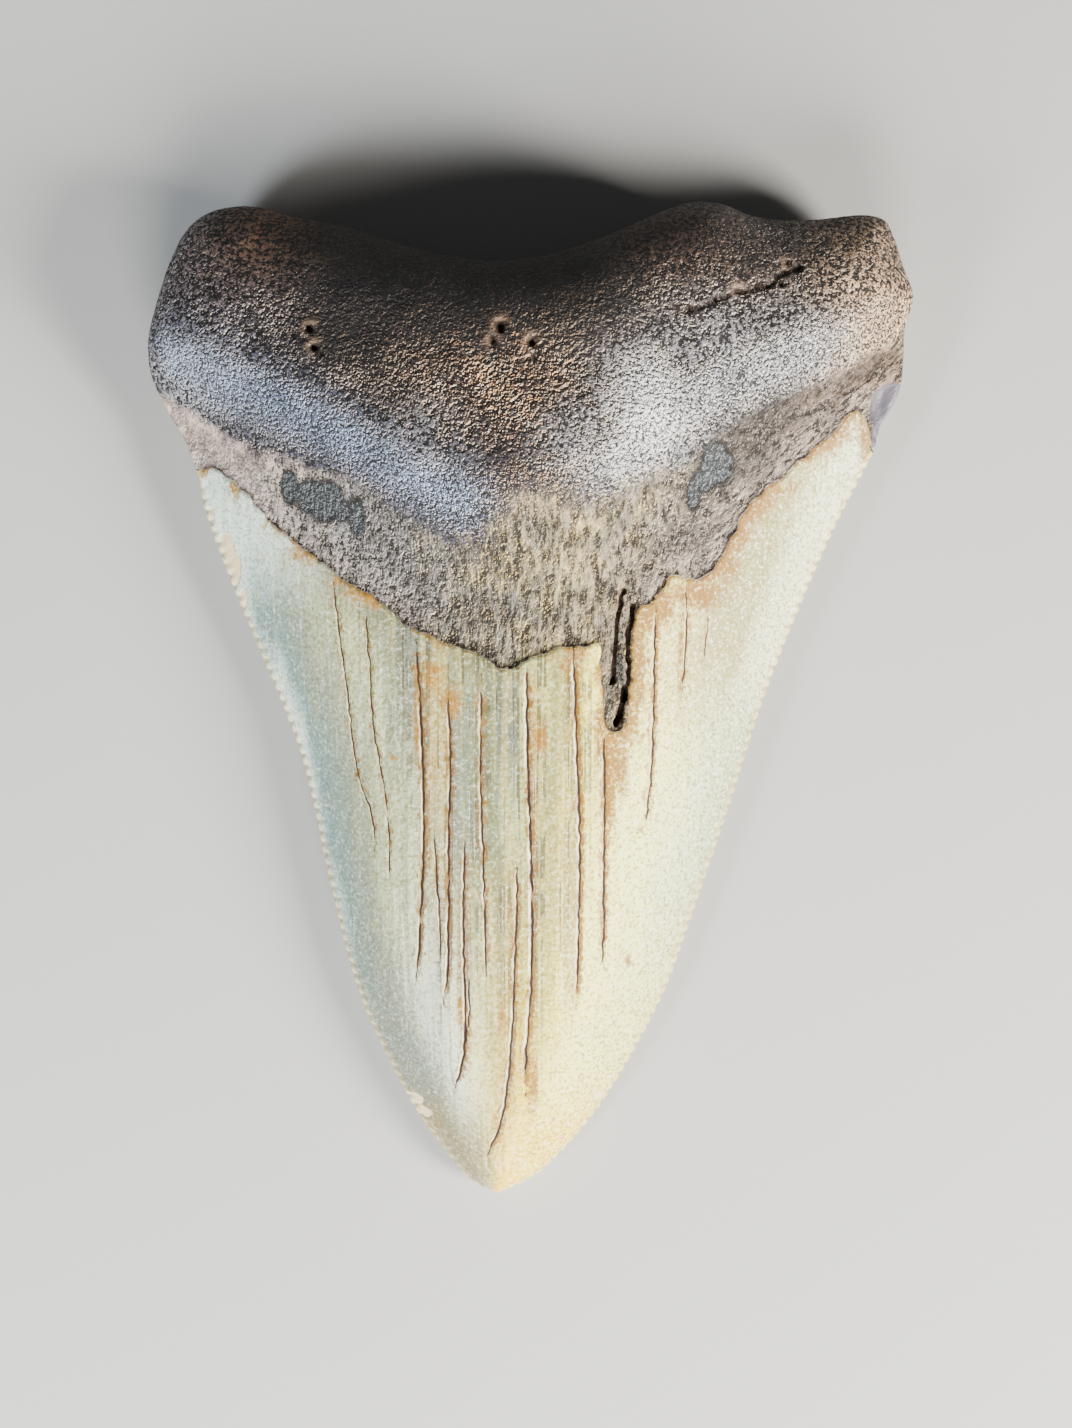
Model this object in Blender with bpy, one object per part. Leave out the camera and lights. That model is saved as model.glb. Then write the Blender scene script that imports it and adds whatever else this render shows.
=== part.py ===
"""A fossil megalodon tooth, crown and root grown as one piece, lying on its flat outer face.

The tooth lies along Y with its tip at -Y. X runs across its width, and +Z is up through its
thickness, so the bulging inner face of the tooth looks up. The origin is on the surface that the
tooth rests on, under the middle of its outline.
"""

import bpy
import numpy as np
from mathutils import Vector
from mathutils.geometry import delaunay_2d_cdt
from mathutils.noise import noise

# Driving dimensions, in millimetres.
MM = 0.001
SERRATION_PITCH = 1.1
SERRATION_DEPTH = 0.26
EDGE_ROUND = 0.7  # how far in from the cutting edge its rounding reaches
EDGE_HALF_THICKNESS = 0.3
ROOT_ROUND = 10.0  # how far in from its rim the root's upper face rolls off
ROOT_UNDER_ROUND = 6.5
CROWN_FLATNESS = 2.3  # powers of the crown's lens-shaped section: a flatter top
CROWN_SHOULDER = 1.15  # and slopes that hollow slightly towards the cutting edges
UNDERSIDE_FLATNESS = 2.6
ENAMEL_THICKNESS = 0.4  # the enamel stands this far above the bare band beside it
ENAMEL_RAMP = 0.35  # half the width of the slope at the enamel's border
ENAMEL_FADE = 7.0  # the step's height dies out over this distance above the enamel
ROOT_LUMPS = 0.35  # size of the gentle lumps over the root
RIM_CALM = 3.0  # lumps shrink to nothing within this distance of the rim
# Spacing of the mesh's points away from the edges, and the room kept round a point.
GRID = 2.05
GRID_ROOM = 1.27
ROW_ROOM = 0.51
RIM_ROOM = 0.3

# Rows of points just inside the rim: distances in from the cutting edges, at the serrations' points,
# in their notches and at their points again, then (distance in, spacing) round the root.
CROWN_ROWS = (0.42, 0.95, 2.0)
ROOT_ROWS = ((0.35, 1.25), (1.0, 1.4), (2.1, 1.7), (3.7, 2.0))
ROOT_RIM_SPACING = 1.15
LINE_SPACING = 1.1

# Outline landmarks (x, y), seen from above. The crown's two cutting edges start at the tip.
TIP = (-3.4, -48.0)
LEFT_EDGE = [
    TIP, (-5.8, -46.8), (-7.6, -44.8), (-11.8, -38.8), (-16.6, -28.8), (-19.3, -19.0), (-21.4, -9.2),
    (-23.0, -3.2), (-26.1, 4.6), (-29.3, 12.4), (-31.6, 19.0), (-32.1, 22.2),
]
RIGHT_EDGE = [
    TIP, (-0.4, -46.8), (2.2, -44.8), (7.2, -38.8), (12.8, -28.8), (16.4, -19.0), (19.7, -9.2),
    (22.8, 0.6), (26.6, 10.4), (30.1, 18.4), (33.0, 24.2), (33.8, 27.0),
]
ROOT_RIM = [
    (33.8, 27.0), (34.8, 28.7), (35.7, 30.8), (35.9, 33.5), (36.0, 36.3), (36.7, 39.2), (35.8, 42.0),
    (34.8, 45.2), (33.9, 46.7), (31.6, 47.2), (27.4, 46.7), (23.6, 46.5), (20.8, 46.9), (18.4, 47.8),
    (16.0, 48.0), (14.2, 47.6), (11.4, 46.4), (7.6, 44.4), (4.8, 43.2), (1.4, 42.0), (-2.8, 41.5),
    (-6.2, 41.9), (-10.0, 42.9), (-13.8, 44.3), (-17.6, 45.7), (-22.8, 46.9), (-25.0, 47.7),
    (-28.0, 48.0), (-30.8, 47.4), (-32.8, 45.9), (-34.2, 43.4), (-35.4, 40.0), (-36.4, 36.3),
    (-36.7, 34.0), (-36.3, 31.2), (-35.0, 28.4), (-33.5, 25.7), (-32.1, 22.2),
]

# Where the enamel ends on the upper (inner) face and on the lower (outer) face: (x, y).
ENAMEL_LINE = [
    (-37.0, 22.6), (-32.0, 22.8), (-30.0, 22.6), (-26.8, 20.0), (-23.6, 16.6), (-20.8, 14.6),
    (-16.2, 11.0), (-13.4, 9.3), (-10.8, 7.2), (-7.8, 5.9), (-4.4, 4.5), (-2.8, 3.4), (-1.2, 3.7),
    (1.6, 5.0), (6.2, 5.8), (9.0, 8.6), (11.2, 9.8), (13.0, 12.0), (14.6, 11.7), (16.4, 12.1),
    (18.0, 14.2), (19.4, 17.0), (20.6, 19.0), (24.2, 22.0), (28.2, 25.6), (31.2, 28.0), (32.8, 26.6),
    (33.8, 24.0), (37.0, 20.0),
]
ENAMEL_LINE_BELOW = [
    (-37.0, 23.5), (-24.0, 19.5), (-12.0, 16.0), (-2.0, 15.0), (8.0, 16.0), (20.0, 20.5), (37.0, 29.5),
]
# The band between enamel and root starts to rise at the one line, and the root's polished ridge
# follows the other.
BAND_LINE = [
    (-37.0, 21.5), (-30.0, 21.0), (-21.0, 14.0), (-11.0, 7.5), (-1.0, 3.5), (8.0, 6.5),
    (17.0, 12.5), (26.0, 22.5), (37.0, 29.0),
]
BAND_START = 1.5  # how far below its line the rise begins
RIDGE_LINE = [
    (-37.0, 34.4), (-30.2, 30.8), (-24.2, 27.9), (-17.6, 24.4), (-11.2, 20.4), (-7.7, 18.6),
    (-4.2, 17.6), (0.9, 18.3), (6.0, 20.2), (9.5, 22.9), (14.9, 26.8), (20.5, 29.9), (29.1, 33.8),
    (37.0, 37.0),
]
RIDGE_RISE = 2.8  # how far above the ridge's line the rise ends
RISE_BIAS = 1.8  # above 1, the rise is gentle over the band and steep at the ridge

# Heights: (y, z) along the tooth, and (x, z) across the root's bulge.
EDGE_HEIGHT = [
    (-48, 1.8), (-40, 2.2), (-28, 2.6), (0, 3.2), (15, 4.0), (24, 5.0), (33, 6.0), (42, 6.1), (48, 5.7),
]
NOTCH_LIFT = 2.4  # how much higher the rim runs round the notch between the root lobes
CROWN_HEIGHT = [
    (-48, 2.1), (-46, 4.4), (-42, 6.2), (-36, 7.9), (-28, 9.4), (-18, 11.0), (-8, 12.5), (2, 13.8),
    (12, 14.8), (24, 15.5), (48, 16.0),
]
ROOT_HEIGHT = [
    (-37, 12.0), (-28, 14.4), (-18, 17.6), (-9, 20.9), (-1, 22.0), (7, 21.3), (16, 18.4), (26, 15.0),
    (37, 12.4),
]
ROOT_FALL = 0.006  # how fast the bulge falls away towards the lobes' ends, past its crest: 1 / mm
ROOT_CREST_Y = 27.0
UNDERSIDE_HEIGHT = [  # just below zero at the tip end and under the lobes: worn flat there at z = 0
    (-48, 0.6), (-38, -0.05), (-25, 0.4), (-8, 0.7), (8, 0.7), (22, 0.4), (35, -0.08), (40, -0.08),
    (48, 0.5),
]
UNDERSIDE_HOLLOW = 1.1  # how far the middle of the root's lower face arches clear of the surface

# Local features on the upper face: (x, y) places, with widths and depths.
# Grooves, each a path, a half width and a depth: the split under the enamel line, a pitted groove
# and a fold of the right lobe.
GROOVES = [
    ([(8.4, 9.0), (7.8, 4.6), (7.7, 1.0), (7.6, -1.8)], 1.25, 0.8),
    ([(12.8, 34.6), (17.3, 36.3), (22.1, 38.2), (24.3, 40.0)], 1.1, 0.35),
    ([(28.6, 28.8), (31.2, 31.4), (34.4, 33.6)], 1.1, 0.45),
]
# The root's small openings: x, y, radius.
PITS = [(-2.4, 32.6, 0.9), (-3.0, 30.9, 0.7), (0.1, 31.1, 0.9), (-19.6, 33.7, 0.7), (-19.2, 31.7, 0.7)]
PIT_DEPTH = 0.8


def along(path):
    """The distance from the start of a path to each of its points."""
    return np.concatenate([[0.0], np.cumsum(np.linalg.norm(np.diff(path, axis=0), axis=1))])


def evenly(path, spacing):
    """The path's points placed again at one even spacing."""
    length = along(path)
    at = np.linspace(0.0, length[-1], max(2, round(length[-1] / spacing)) + 1)
    return np.column_stack([np.interp(at, length, path[:, axis]) for axis in range(2)])


def smooth_curve(landmarks, spacing):
    """Evenly spaced points on a Catmull-Rom curve through the landmarks."""
    marks = np.array(landmarks, float)
    marks = np.vstack([2 * marks[0] - marks[1], marks, 2 * marks[-1] - marks[-2]])
    t = np.linspace(0.0, 1.0, 24, endpoint=False)[:, None]
    stretches = []
    for a, b, c, d in zip(marks, marks[1:], marks[2:], marks[3:]):
        bend = 2 * a - 5 * b + 4 * c - d + t * (3 * b - a - 3 * c + d)
        stretches.append(b + 0.5 * t * (c - a + t * bend))
    return evenly(np.vstack(stretches + [marks[-2:-1]]), spacing)


def profile(landmarks):
    """A smooth function through (place, value) landmarks."""
    curve = smooth_curve(landmarks, 0.2)
    return lambda at: np.interp(at, curve[:, 0], curve[:, 1])


def swapped(landmarks):
    """(x, y) landmarks as (y, x) ones."""
    return [(y, x) for x, y in landmarks]


def step(start, end, value):
    """0 up to start, 1 from end, and an even S between them."""
    t = np.clip((value - start) / (end - start), 0.0, 1.0)
    return t * t * (3.0 - 2.0 * t)


def roll_off(distance, reach):
    """An elliptical rounding: 0 at the rim, 1 from `reach` inwards."""
    t = np.clip(distance / reach, 0.0, 1.0)
    return (1.0 - (1.0 - t) ** 2.2) ** 0.55


def distance_to(points, path):
    """How far each point is from the nearest stretch of an open path."""
    best = np.full(len(points), np.inf)
    for a, b in zip(path, path[1:]):
        t = np.clip((points - a) @ (b - a) / max((b - a) @ (b - a), 1e-12), 0.0, 1.0)
        best = np.minimum(best, np.linalg.norm(points - a - t[:, None] * (b - a), axis=1))
    return best


left_x = profile(swapped(LEFT_EDGE))
right_x = profile(swapped(RIGHT_EDGE))
edge_height = profile(EDGE_HEIGHT)
crown_height = profile(CROWN_HEIGHT)
root_height = profile(ROOT_HEIGHT)
underside_height = profile(UNDERSIDE_HEIGHT)
enamel_line = profile(ENAMEL_LINE)
enamel_line_below = profile(ENAMEL_LINE_BELOW)
band_line = profile(BAND_LINE)
ridge_line = profile(RIDGE_LINE)


def rim_height(points):
    """The height at which the upper and lower faces meet, carried inwards under the whole outline."""
    x, y = points.T
    return edge_height(y) + NOTCH_LIFT * np.exp(-((x / 13.0) ** 2)) * step(28.0, 42.0, y)


def across(points):
    """Each point's place across the crown: -1 on the left cutting edge, 1 on the right one."""
    left = left_x(points[:, 1])
    right = right_x(points[:, 1])
    return np.clip((2.0 * points[:, 0] - left - right) / np.maximum(right - left, 0.5), -1.0, 1.0)


def unevenness(points):
    """Gentle lumps over the root, between about -1 and 1."""
    broad = [noise(Vector((x / 5.5, y / 4.5, 0.0))) for x, y in points]
    fine = [noise(Vector((x / 2.4, y / 2.0, 7.0))) for x, y in points]
    return np.array(broad) + 0.5 * np.array(fine)


def upper_height(points, rim_distance):
    """Height of the upper face: lens-shaped crown, rising band, bulging root, local features."""
    x, y = points.T
    edge = rim_height(points)
    rim = EDGE_HALF_THICKNESS * roll_off(rim_distance, EDGE_ROUND)
    lens = (1.0 - np.abs(across(points)) ** CROWN_FLATNESS) ** CROWN_SHOULDER
    crown = edge + (crown_height(y) - edge) * lens + rim
    bulge = root_height(x) - ROOT_FALL * np.maximum(y - ROOT_CREST_Y, 0.0) ** 2
    lumps = ROOT_LUMPS * unevenness(points) * np.minimum(rim_distance / RIM_CALM, 1.0)
    root = edge + (bulge - edge) * roll_off(rim_distance, ROOT_ROUND) + lumps
    start = band_line(x) - BAND_START
    climbed = np.clip((y - start) / (ridge_line(x) + RIDGE_RISE - start), 0.0, 1.0)
    height = crown + (root - crown) * step(0.0, 1.0, climbed ** RISE_BIAS)
    above_line = y - enamel_line(x)
    bare = step(-ENAMEL_RAMP, ENAMEL_RAMP, above_line) * (1.0 - step(0.0, ENAMEL_FADE, above_line))
    height -= ENAMEL_THICKNESS * bare * np.minimum(rim_distance / 1.5, 1.0)
    for path, half_width, depth in GROOVES:
        height -= depth * (1.0 - step(0.35 * half_width, half_width, distance_to(points, np.array(path))))
    for pit_x, pit_y, radius in PITS:
        height -= PIT_DEPTH * (1.0 - step(0.2, radius, np.hypot(x - pit_x, y - pit_y)))
    return height


def lower_height(points, rim_distance):
    """Height of the lower face, which lies on z = 0 under both root lobes and near the tip."""
    x, y = points.T
    edge = rim_height(points)
    rim = EDGE_HALF_THICKNESS * roll_off(rim_distance, EDGE_ROUND)
    floor = underside_height(y) + UNDERSIDE_HOLLOW * np.exp(-((x / 11.0) ** 2)) * step(12.0, 30.0, y)
    crown = edge - (edge - floor) * (1.0 - np.abs(across(points)) ** UNDERSIDE_FLATNESS) - rim
    root = edge - (edge - floor) * roll_off(rim_distance, ROOT_UNDER_ROUND)
    bare = step(-3.5, 5.5, y - enamel_line_below(x))
    return np.maximum(crown + (root - crown) * bare, 0.0)


def serrated(edge):
    """The cutting edge's small rounded teeth: a notch, then three points round each tooth."""
    length = along(edge)
    teeth = round(length[-1] / SERRATION_PITCH)
    phases = np.arange(4 * teeth + 1)
    at = phases * length[-1] / (4 * teeth)
    points = np.column_stack([np.interp(at, length, edge[:, axis]) for axis in range(2)])
    ahead = np.gradient(points, axis=0)
    inward = np.column_stack([-ahead[:, 1], ahead[:, 0]]) / np.linalg.norm(ahead, axis=1)[:, None]
    depth = np.array([1.0, 0.2, 0.0, 0.2])[phases % 4] * SERRATION_DEPTH
    depth *= step(0.0, 4.0, at) * step(0.0, 2.0, length[-1] - at)
    return points, inward, depth, phases % 4


def outline():
    """The tooth's outline, counter-clockwise from the tip, and rows of points just inside it."""
    rows = []
    crown = []
    for landmarks, side in ((RIGHT_EDGE, 1.0), (LEFT_EDGE, -1.0)):
        edge, inward, depth, phase = serrated(smooth_curve(landmarks, 0.1))
        inward *= side
        crown.append(edge + inward * depth[:, None])
        rows.append((edge + inward * CROWN_ROWS[0])[phase == 2])
        rows.append((edge + inward * CROWN_ROWS[1])[phase == 0][2:])
        rows.append((edge + inward * CROWN_ROWS[2])[phase == 2][3:])
    root = smooth_curve(ROOT_RIM, ROOT_RIM_SPACING)
    rim = np.vstack([crown[0][:-1], root[:-1], crown[1][:0:-1]])
    for offset, spacing in ROOT_ROWS:
        fine = smooth_curve(ROOT_RIM, 0.3)
        ahead = np.gradient(fine, axis=0)
        inward = np.column_stack([-ahead[:, 1], ahead[:, 0]]) / np.linalg.norm(ahead, axis=1)[:, None]
        rows.append(evenly(fine + inward * offset, spacing))
    return rim, rows


def ring(x, y, radius, count):
    """Points evenly round a circle."""
    turns = np.arange(count) * 2.0 * np.pi / count
    return np.column_stack([x + radius * np.cos(turns), y + radius * np.sin(turns)])


def line_rows(line, offsets, spacing):
    """Rows of points beside an (x, y) line, at the given distances above it."""
    curve = smooth_curve(line, spacing)
    return [curve + (0.0, offset) for offset in offsets]


def feature_rows_above():
    """Points that give the upper face's openings, grooves and enamel border their shape."""
    rows = [ring(x, y, 0.0, 1) for x, y, _ in PITS] + [ring(x, y, radius, 7) for x, y, radius in PITS]
    for path, half_width, _ in GROOVES:
        curve = smooth_curve(path, 0.9)
        ahead = np.gradient(curve, axis=0)
        aside = np.column_stack([-ahead[:, 1], ahead[:, 0]]) / np.linalg.norm(ahead, axis=1)[:, None]
        rows += [curve + aside * share * half_width for share in (0.0, 1.0, -1.0, 0.4, -0.4)]
    return rows + line_rows(ENAMEL_LINE, (-ENAMEL_RAMP, ENAMEL_RAMP), LINE_SPACING)


def honeycomb(spacing):
    """A regular triangular grid over the tooth's box."""
    xs = np.arange(-38.0, 38.0, spacing)
    ys = np.arange(-49.0, 49.0, spacing * 0.75 ** 0.5)
    return np.array([(x + 0.5 * spacing * (row % 2), y) for row, y in enumerate(ys) for x in xs])


def inside(points, rim):
    """Whether each point lies within the closed outline."""
    count = np.zeros(len(points), int)
    x, y = points.T
    for (ax, ay), (bx, by) in zip(rim, np.roll(rim, -1, axis=0)):
        if ay != by:
            count += ((ay > y) != (by > y)) & (x < ax + (y - ay) * (bx - ax) / (by - ay))
    return count % 2 == 1


def face_points(rim, rows):
    """The inner points of one face: its rows, then the grid, each kept only with room round it."""
    closed_rim = np.vstack([rim, rim[:1]])
    batches = [(row, RIM_ROOM, ROW_ROOM) for row in rows] + [(honeycomb(GRID), GRID_ROOM, GRID_ROOM)]
    kept = []
    for batch, rim_room, room in batches:
        batch = batch[inside(batch, rim)]
        batch = batch[distance_to(batch, closed_rim) > rim_room]
        for point in batch:
            if not kept or np.min(np.linalg.norm(np.array(kept) - point, axis=1)) > room:
                kept.append(point)
    return np.array(kept)


def filled(rim, inner):
    """The inner points, and the triangles facing up that fill the outline through them and the rim.

    Where an edge would join two points of the rim across the face, its middle becomes a point too,
    so that the upper and the lower face never share an edge inside the rim."""
    while True:
        points = np.vstack([rim, inner])
        made = delaunay_2d_cdt([Vector(p) for p in points], [], [list(range(len(rim)))], 1, 1e-6)
        assert len(made[0]) == len(points)
        faces = np.array(made[2])
        edges = np.sort(np.vstack([faces[:, [0, 1]], faces[:, [1, 2]], faces[:, [2, 0]]]), axis=1)
        edges = np.unique(edges, axis=0)
        gap = edges[:, 1] - edges[:, 0]
        bridges = edges[(edges[:, 1] < len(rim)) & (gap > 1) & (gap < len(rim) - 1)]
        if not len(bridges):
            return inner, faces
        inner = np.vstack([inner, points[bridges].mean(axis=1)])


def tooth_mesh():
    """Both faces over the one outline, joined along the rim."""
    rim, rim_rows = outline()
    upper, upper_faces = filled(rim, face_points(rim, rim_rows + feature_rows_above()))
    lower, lower_faces = filled(rim, face_points(rim, rim_rows))
    closed_rim = np.vstack([rim, rim[:1]])
    heights = [
        rim_height(rim),
        upper_height(upper, distance_to(upper, closed_rim)),
        lower_height(lower, distance_to(lower, closed_rim)),
    ]
    vertices = np.column_stack([np.vstack([rim, upper, lower]), np.concatenate(heights)]) * MM
    lower_faces = lower_faces + np.where(lower_faces < len(rim), 0, len(upper))
    faces = np.vstack([upper_faces, lower_faces[:, ::-1]])
    mesh = bpy.data.meshes.new("tooth")
    mesh.from_pydata(vertices.tolist(), [], faces.tolist())
    mesh.shade_smooth()
    return mesh


def tooth_material():
    """Satin blue-grey enamel, the crown's colour, for the whole tooth."""
    material = bpy.data.materials.new("fossil enamel")
    material.use_nodes = True
    surface = material.node_tree.nodes["Principled BSDF"]
    surface.inputs["Base Color"].default_value = (0.42, 0.43, 0.36, 1.0)
    surface.inputs["Roughness"].default_value = 0.4
    surface.inputs["Metallic"].default_value = 0.0
    return material


for old in list(bpy.data.objects):
    bpy.data.objects.remove(old)
tooth = bpy.data.objects.new("tooth", tooth_mesh())
tooth.data.materials.append(tooth_material())
bpy.context.collection.objects.link(tooth)
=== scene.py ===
"""A fossil megalodon tooth lying on a table: satin enamel blade, bare band and granular dark root."""

import bpy
import numpy as np
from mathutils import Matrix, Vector, kdtree
from mathutils.geometry import delaunay_2d_cdt
from mathutils.noise import noise


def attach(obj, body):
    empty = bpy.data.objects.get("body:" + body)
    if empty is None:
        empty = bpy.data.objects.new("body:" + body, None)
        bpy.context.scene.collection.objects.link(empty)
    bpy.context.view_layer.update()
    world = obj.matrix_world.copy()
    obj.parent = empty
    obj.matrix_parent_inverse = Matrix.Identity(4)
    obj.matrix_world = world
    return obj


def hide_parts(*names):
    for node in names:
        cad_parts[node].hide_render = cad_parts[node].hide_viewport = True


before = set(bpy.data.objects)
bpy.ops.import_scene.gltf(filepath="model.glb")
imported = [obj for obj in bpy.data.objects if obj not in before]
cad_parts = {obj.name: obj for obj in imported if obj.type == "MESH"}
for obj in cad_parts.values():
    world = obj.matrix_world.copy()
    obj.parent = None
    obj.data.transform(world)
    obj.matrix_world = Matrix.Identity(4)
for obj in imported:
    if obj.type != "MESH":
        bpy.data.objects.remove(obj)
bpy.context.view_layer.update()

# ----------------------------------------------------------------------------------------
# The tooth: an enamel crown over dentine, and the bone-like root that held it in the jaw, grown
# as one piece and turned to stone. It lies along Y on its flat outer face with its tip at -Y, so
# the bulging inner face looks up. All sizes here are in millimetres until the mesh is made.
# ----------------------------------------------------------------------------------------

# Outline seen from above: the two cutting edges run from the tip, and the root's rim joins them.
TIP = (-3.4, -48.0)
LEFT_EDGE = [
    TIP, (-5.8, -46.8), (-7.6, -44.8), (-11.8, -38.8), (-16.6, -28.8), (-19.3, -19), (-21.4, -9.2),
    (-23, -3.2), (-26.1, 4.6), (-29.3, 12.4), (-31.6, 19), (-32.1, 22.2),
]
RIGHT_EDGE = [
    TIP, (-0.4, -46.8), (2.2, -44.8), (7.2, -38.8), (12.8, -28.8), (16.4, -19), (19.7, -9.2),
    (22.8, 0.6), (26.6, 10.4), (30.1, 18.4), (33, 24.2), (33.8, 27),
]
ROOT_RIM = [
    (33.8, 27), (34.8, 28.7), (35.7, 30.8), (35.9, 33.5), (36, 36.3), (36.7, 39.2), (35.8, 42),
    (34.8, 45.2), (33.9, 46.7), (31.6, 47.2), (27.4, 46.7), (23.6, 46.5), (20.8, 46.9), (18.4, 47.8),
    (16, 48), (14.2, 47.6), (11.4, 46.4), (7.6, 44.4), (4.8, 43.2), (1.4, 42), (-2.8, 41.5),
    (-6.2, 41.9), (-10, 42.9), (-13.8, 44.3), (-17.6, 45.7), (-22.8, 46.9), (-25, 47.7), (-28, 48),
    (-30.8, 47.4), (-32.8, 45.9), (-34.2, 43.4), (-35.4, 40), (-36.4, 36.3), (-36.7, 34), (-36.3, 31.2),
    (-35, 28.4), (-33.5, 25.7), (-32.1, 22.2),
]
SERRATION_PITCH = 1.1
SERRATION_POINTS = 8  # mesh points to a serration
TIP_WEAR = 4.0  # the serrations grow in over this length from the tip
SHOULDER_WEAR = 2.0  # and fade out over this one by the root

# Where the enamel ends on the upper face, with the split that runs down into it, and on the lower
# face; then where the bare band starts to rise, the root's ridge, and the band's own upper border.
ENAMEL_LINE = [
    (-33.5, 22.9), (-32, 22.8), (-30, 22.6), (-26.8, 20), (-23.6, 16.6), (-20.8, 14.6), (-16.2, 11),
    (-13.4, 9.3), (-10.8, 7.2), (-7.8, 5.9), (-4.4, 4.5), (-2.8, 3.4), (-1.2, 3.7), (1.6, 5),
    (4.4, 5.4), (6.2, 5.5), (6.5, 3.6), (6.6, 1.6), (6.8, -1), (7.2, -2.3), (8.3, -2.2), (8.8, -1.2),
    (9.1, 2.9), (9.3, 7.4), (9.9, 8.9), (11.2, 9.6), (12.2, 10.9), (13.2, 12.1), (14.6, 11.7),
    (16.4, 12.1), (18, 14.2), (19.4, 17), (20.6, 19), (24.2, 22), (28.2, 25.6), (31, 28.2),
    (32.4, 26.8), (33.2, 24.6), (36, 23),
]
ENAMEL_LINE_BELOW = [(-37, 23.5), (-24, 19.5), (-12, 16), (-2, 15), (8, 16), (20, 20.5), (37, 29.5)]
BAND_LINE = [
    (-37, 21.5), (-30, 21), (-21, 14), (-11, 7.5), (-1, 3.5), (8, 6.5), (17, 12.5), (26, 22.5),
    (37, 29),
]
RIDGE_LINE = [
    (-37, 34.4), (-30.2, 30.8), (-24.2, 27.9), (-17.6, 24.4), (-11.2, 20.4), (-7.7, 18.6), (-4.2, 17.6),
    (0.9, 18.3), (6, 20.2), (9.5, 22.9), (14.9, 26.8), (20.5, 29.9), (29.1, 33.8), (37, 37),
]
BAND_START = 1.5
RIDGE_RISE = 2.8
RIDGE_HALF_WIDTH = 3.2
RISE_BIAS = 1.8
BAND_TOP = [
    (-37, 31), (-33.3, 28.5), (-29.6, 26), (-25.6, 23.6), (-20.6, 21.9), (-15.9, 20), (-11.4, 17),
    (-6.9, 13.8), (-4.8, 13.6), (-3, 16), (-0.5, 17.6), (2.6, 17.6), (6.1, 17.4), (9.6, 19.4), (14, 22),
    (18.6, 25.3), (24.3, 28.8), (29.2, 31.2), (37, 36.5),
]

# Heights: (y, z) along the tooth, and (x, z) across the root's bulge.
EDGE_HEIGHT = [
    (-48, 1.8), (-40, 2.2), (-28, 2.6), (0, 3.2), (15, 4), (24, 5), (33, 6), (42, 6.1), (48, 5.7),
]
NOTCH_LIFT = 2.4
NOTCH_HALF_WIDTH = 13.0
CROWN_HEIGHT = [
    (-48, 2.1), (-46, 4.4), (-42, 6.2), (-36, 7.9), (-28, 9.4), (-18, 11), (-8, 12.5), (2, 13.8),
    (12, 14.8), (24, 15.5), (48, 16),
]
ROOT_HEIGHT = [
    (-37, 12), (-28, 14.4), (-18, 17.6), (-9, 20.9), (-1, 22), (7, 21.3), (16, 18.4), (26, 15),
    (37, 12.4),
]
ROOT_FALL = 0.006
ROOT_CREST_Y = 27.0
UNDERSIDE_HEIGHT = [
    (-48, 0.6), (-38, -0.05), (-25, 0.4), (-8, 0.7), (8, 0.7), (22, 0.4), (35, -0.08), (40, -0.08),
    (48, 0.5),
]
UNDERSIDE_HOLLOW = 1.1
HOLLOW_HALF_WIDTH = 11.0
EDGE_ROUND = 0.7
EDGE_HALF_THICKNESS = 0.3
ROOT_ROUND = 10.0
ROOT_UNDER_ROUND = 6.5
CROWN_FLATNESS = 2.3
CROWN_SHOULDER = 1.15
UNDERSIDE_FLATNESS = 2.6
ENAMEL_THICKNESS = 0.4
ENAMEL_RAMP = 0.12
ENAMEL_FADE = 7.0
ROOT_LUMPS = 0.25
RIM_CALM = 3.0

# Cracks along the crown, each a path of (x, y) points, a half width and a depth.
CRACKS = [
    ([(-10.4, 6.1), (-10, -1.8), (-9.9, -12.6), (-10.6, -23.7), (-10.9, -26)], 0.13, 0.16),
    ([(-8.9, -11.2), (-8.4, -22), (-8.7, -24.1)], 0.09, 0.1),
    ([(-7.5, 0.9), (-7.3, -4.5), (-7.5, -12.5), (-7.7, -23.5), (-8.2, -28.2)], 0.12, 0.14),
    ([(-6, -11.9), (-6.2, -20), (-6.1, -28.1), (-6.3, -33), (-7.3, -36.8)], 0.12, 0.14),
    ([(-5.8, -24.4), (-5.7, -28.6), (-6, -31.5)], 0.07, 0.08),
    ([(-4.4, 2.9), (-4.5, -7), (-4.2, -17.8), (-4.1, -25.2)], 0.1, 0.12),
    ([
        (-0.3, 3.7), (-0.2, -4.4), (0.1, -13.7), (0.2, -22), (0, -28), (-0.4, -33), (-0.5, -36.8),
    ], 0.14, 0.2),
    ([
        (-1.2, -14.5), (-1.2, -17.9), (-1.6, -28.7), (-2.1, -35.5), (-2.8, -39.6), (-4.2, -43.2),
    ], 0.11, 0.14),
    ([(3.9, 5.5), (4.2, -1.8), (4.6, -12.5), (4.5, -23.5), (4.3, -28.4)], 0.12, 0.14),
    ([(6.8, -2.4), (6.9, -12.5), (6.9, -24.7)], 0.12, 0.14),
    ([(11.5, 9.8), (11.5, 6.1), (11.4, -4.5), (10.9, -11.1)], 0.11, 0.12),
    ([(14.4, 11.4), (14.5, 6.2), (14.1, 0.1)], 0.08, 0.08),
    ([(16.6, 8.1), (16.3, 3.9)], 0.07, 0.06),
    ([
        (-18.3, 11.8), (-17.8, 7), (-17.2, 1.8), (-16.4, -5.9), (-14.9, -10.6), (-14.7, -14.2),
    ], 0.08, 0.07),
    ([(-15.2, 9.9), (-14.9, 4.4), (-14.6, -2), (-13.4, -10), (-13.3, -17.6)], 0.07, 0.06),
]
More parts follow.
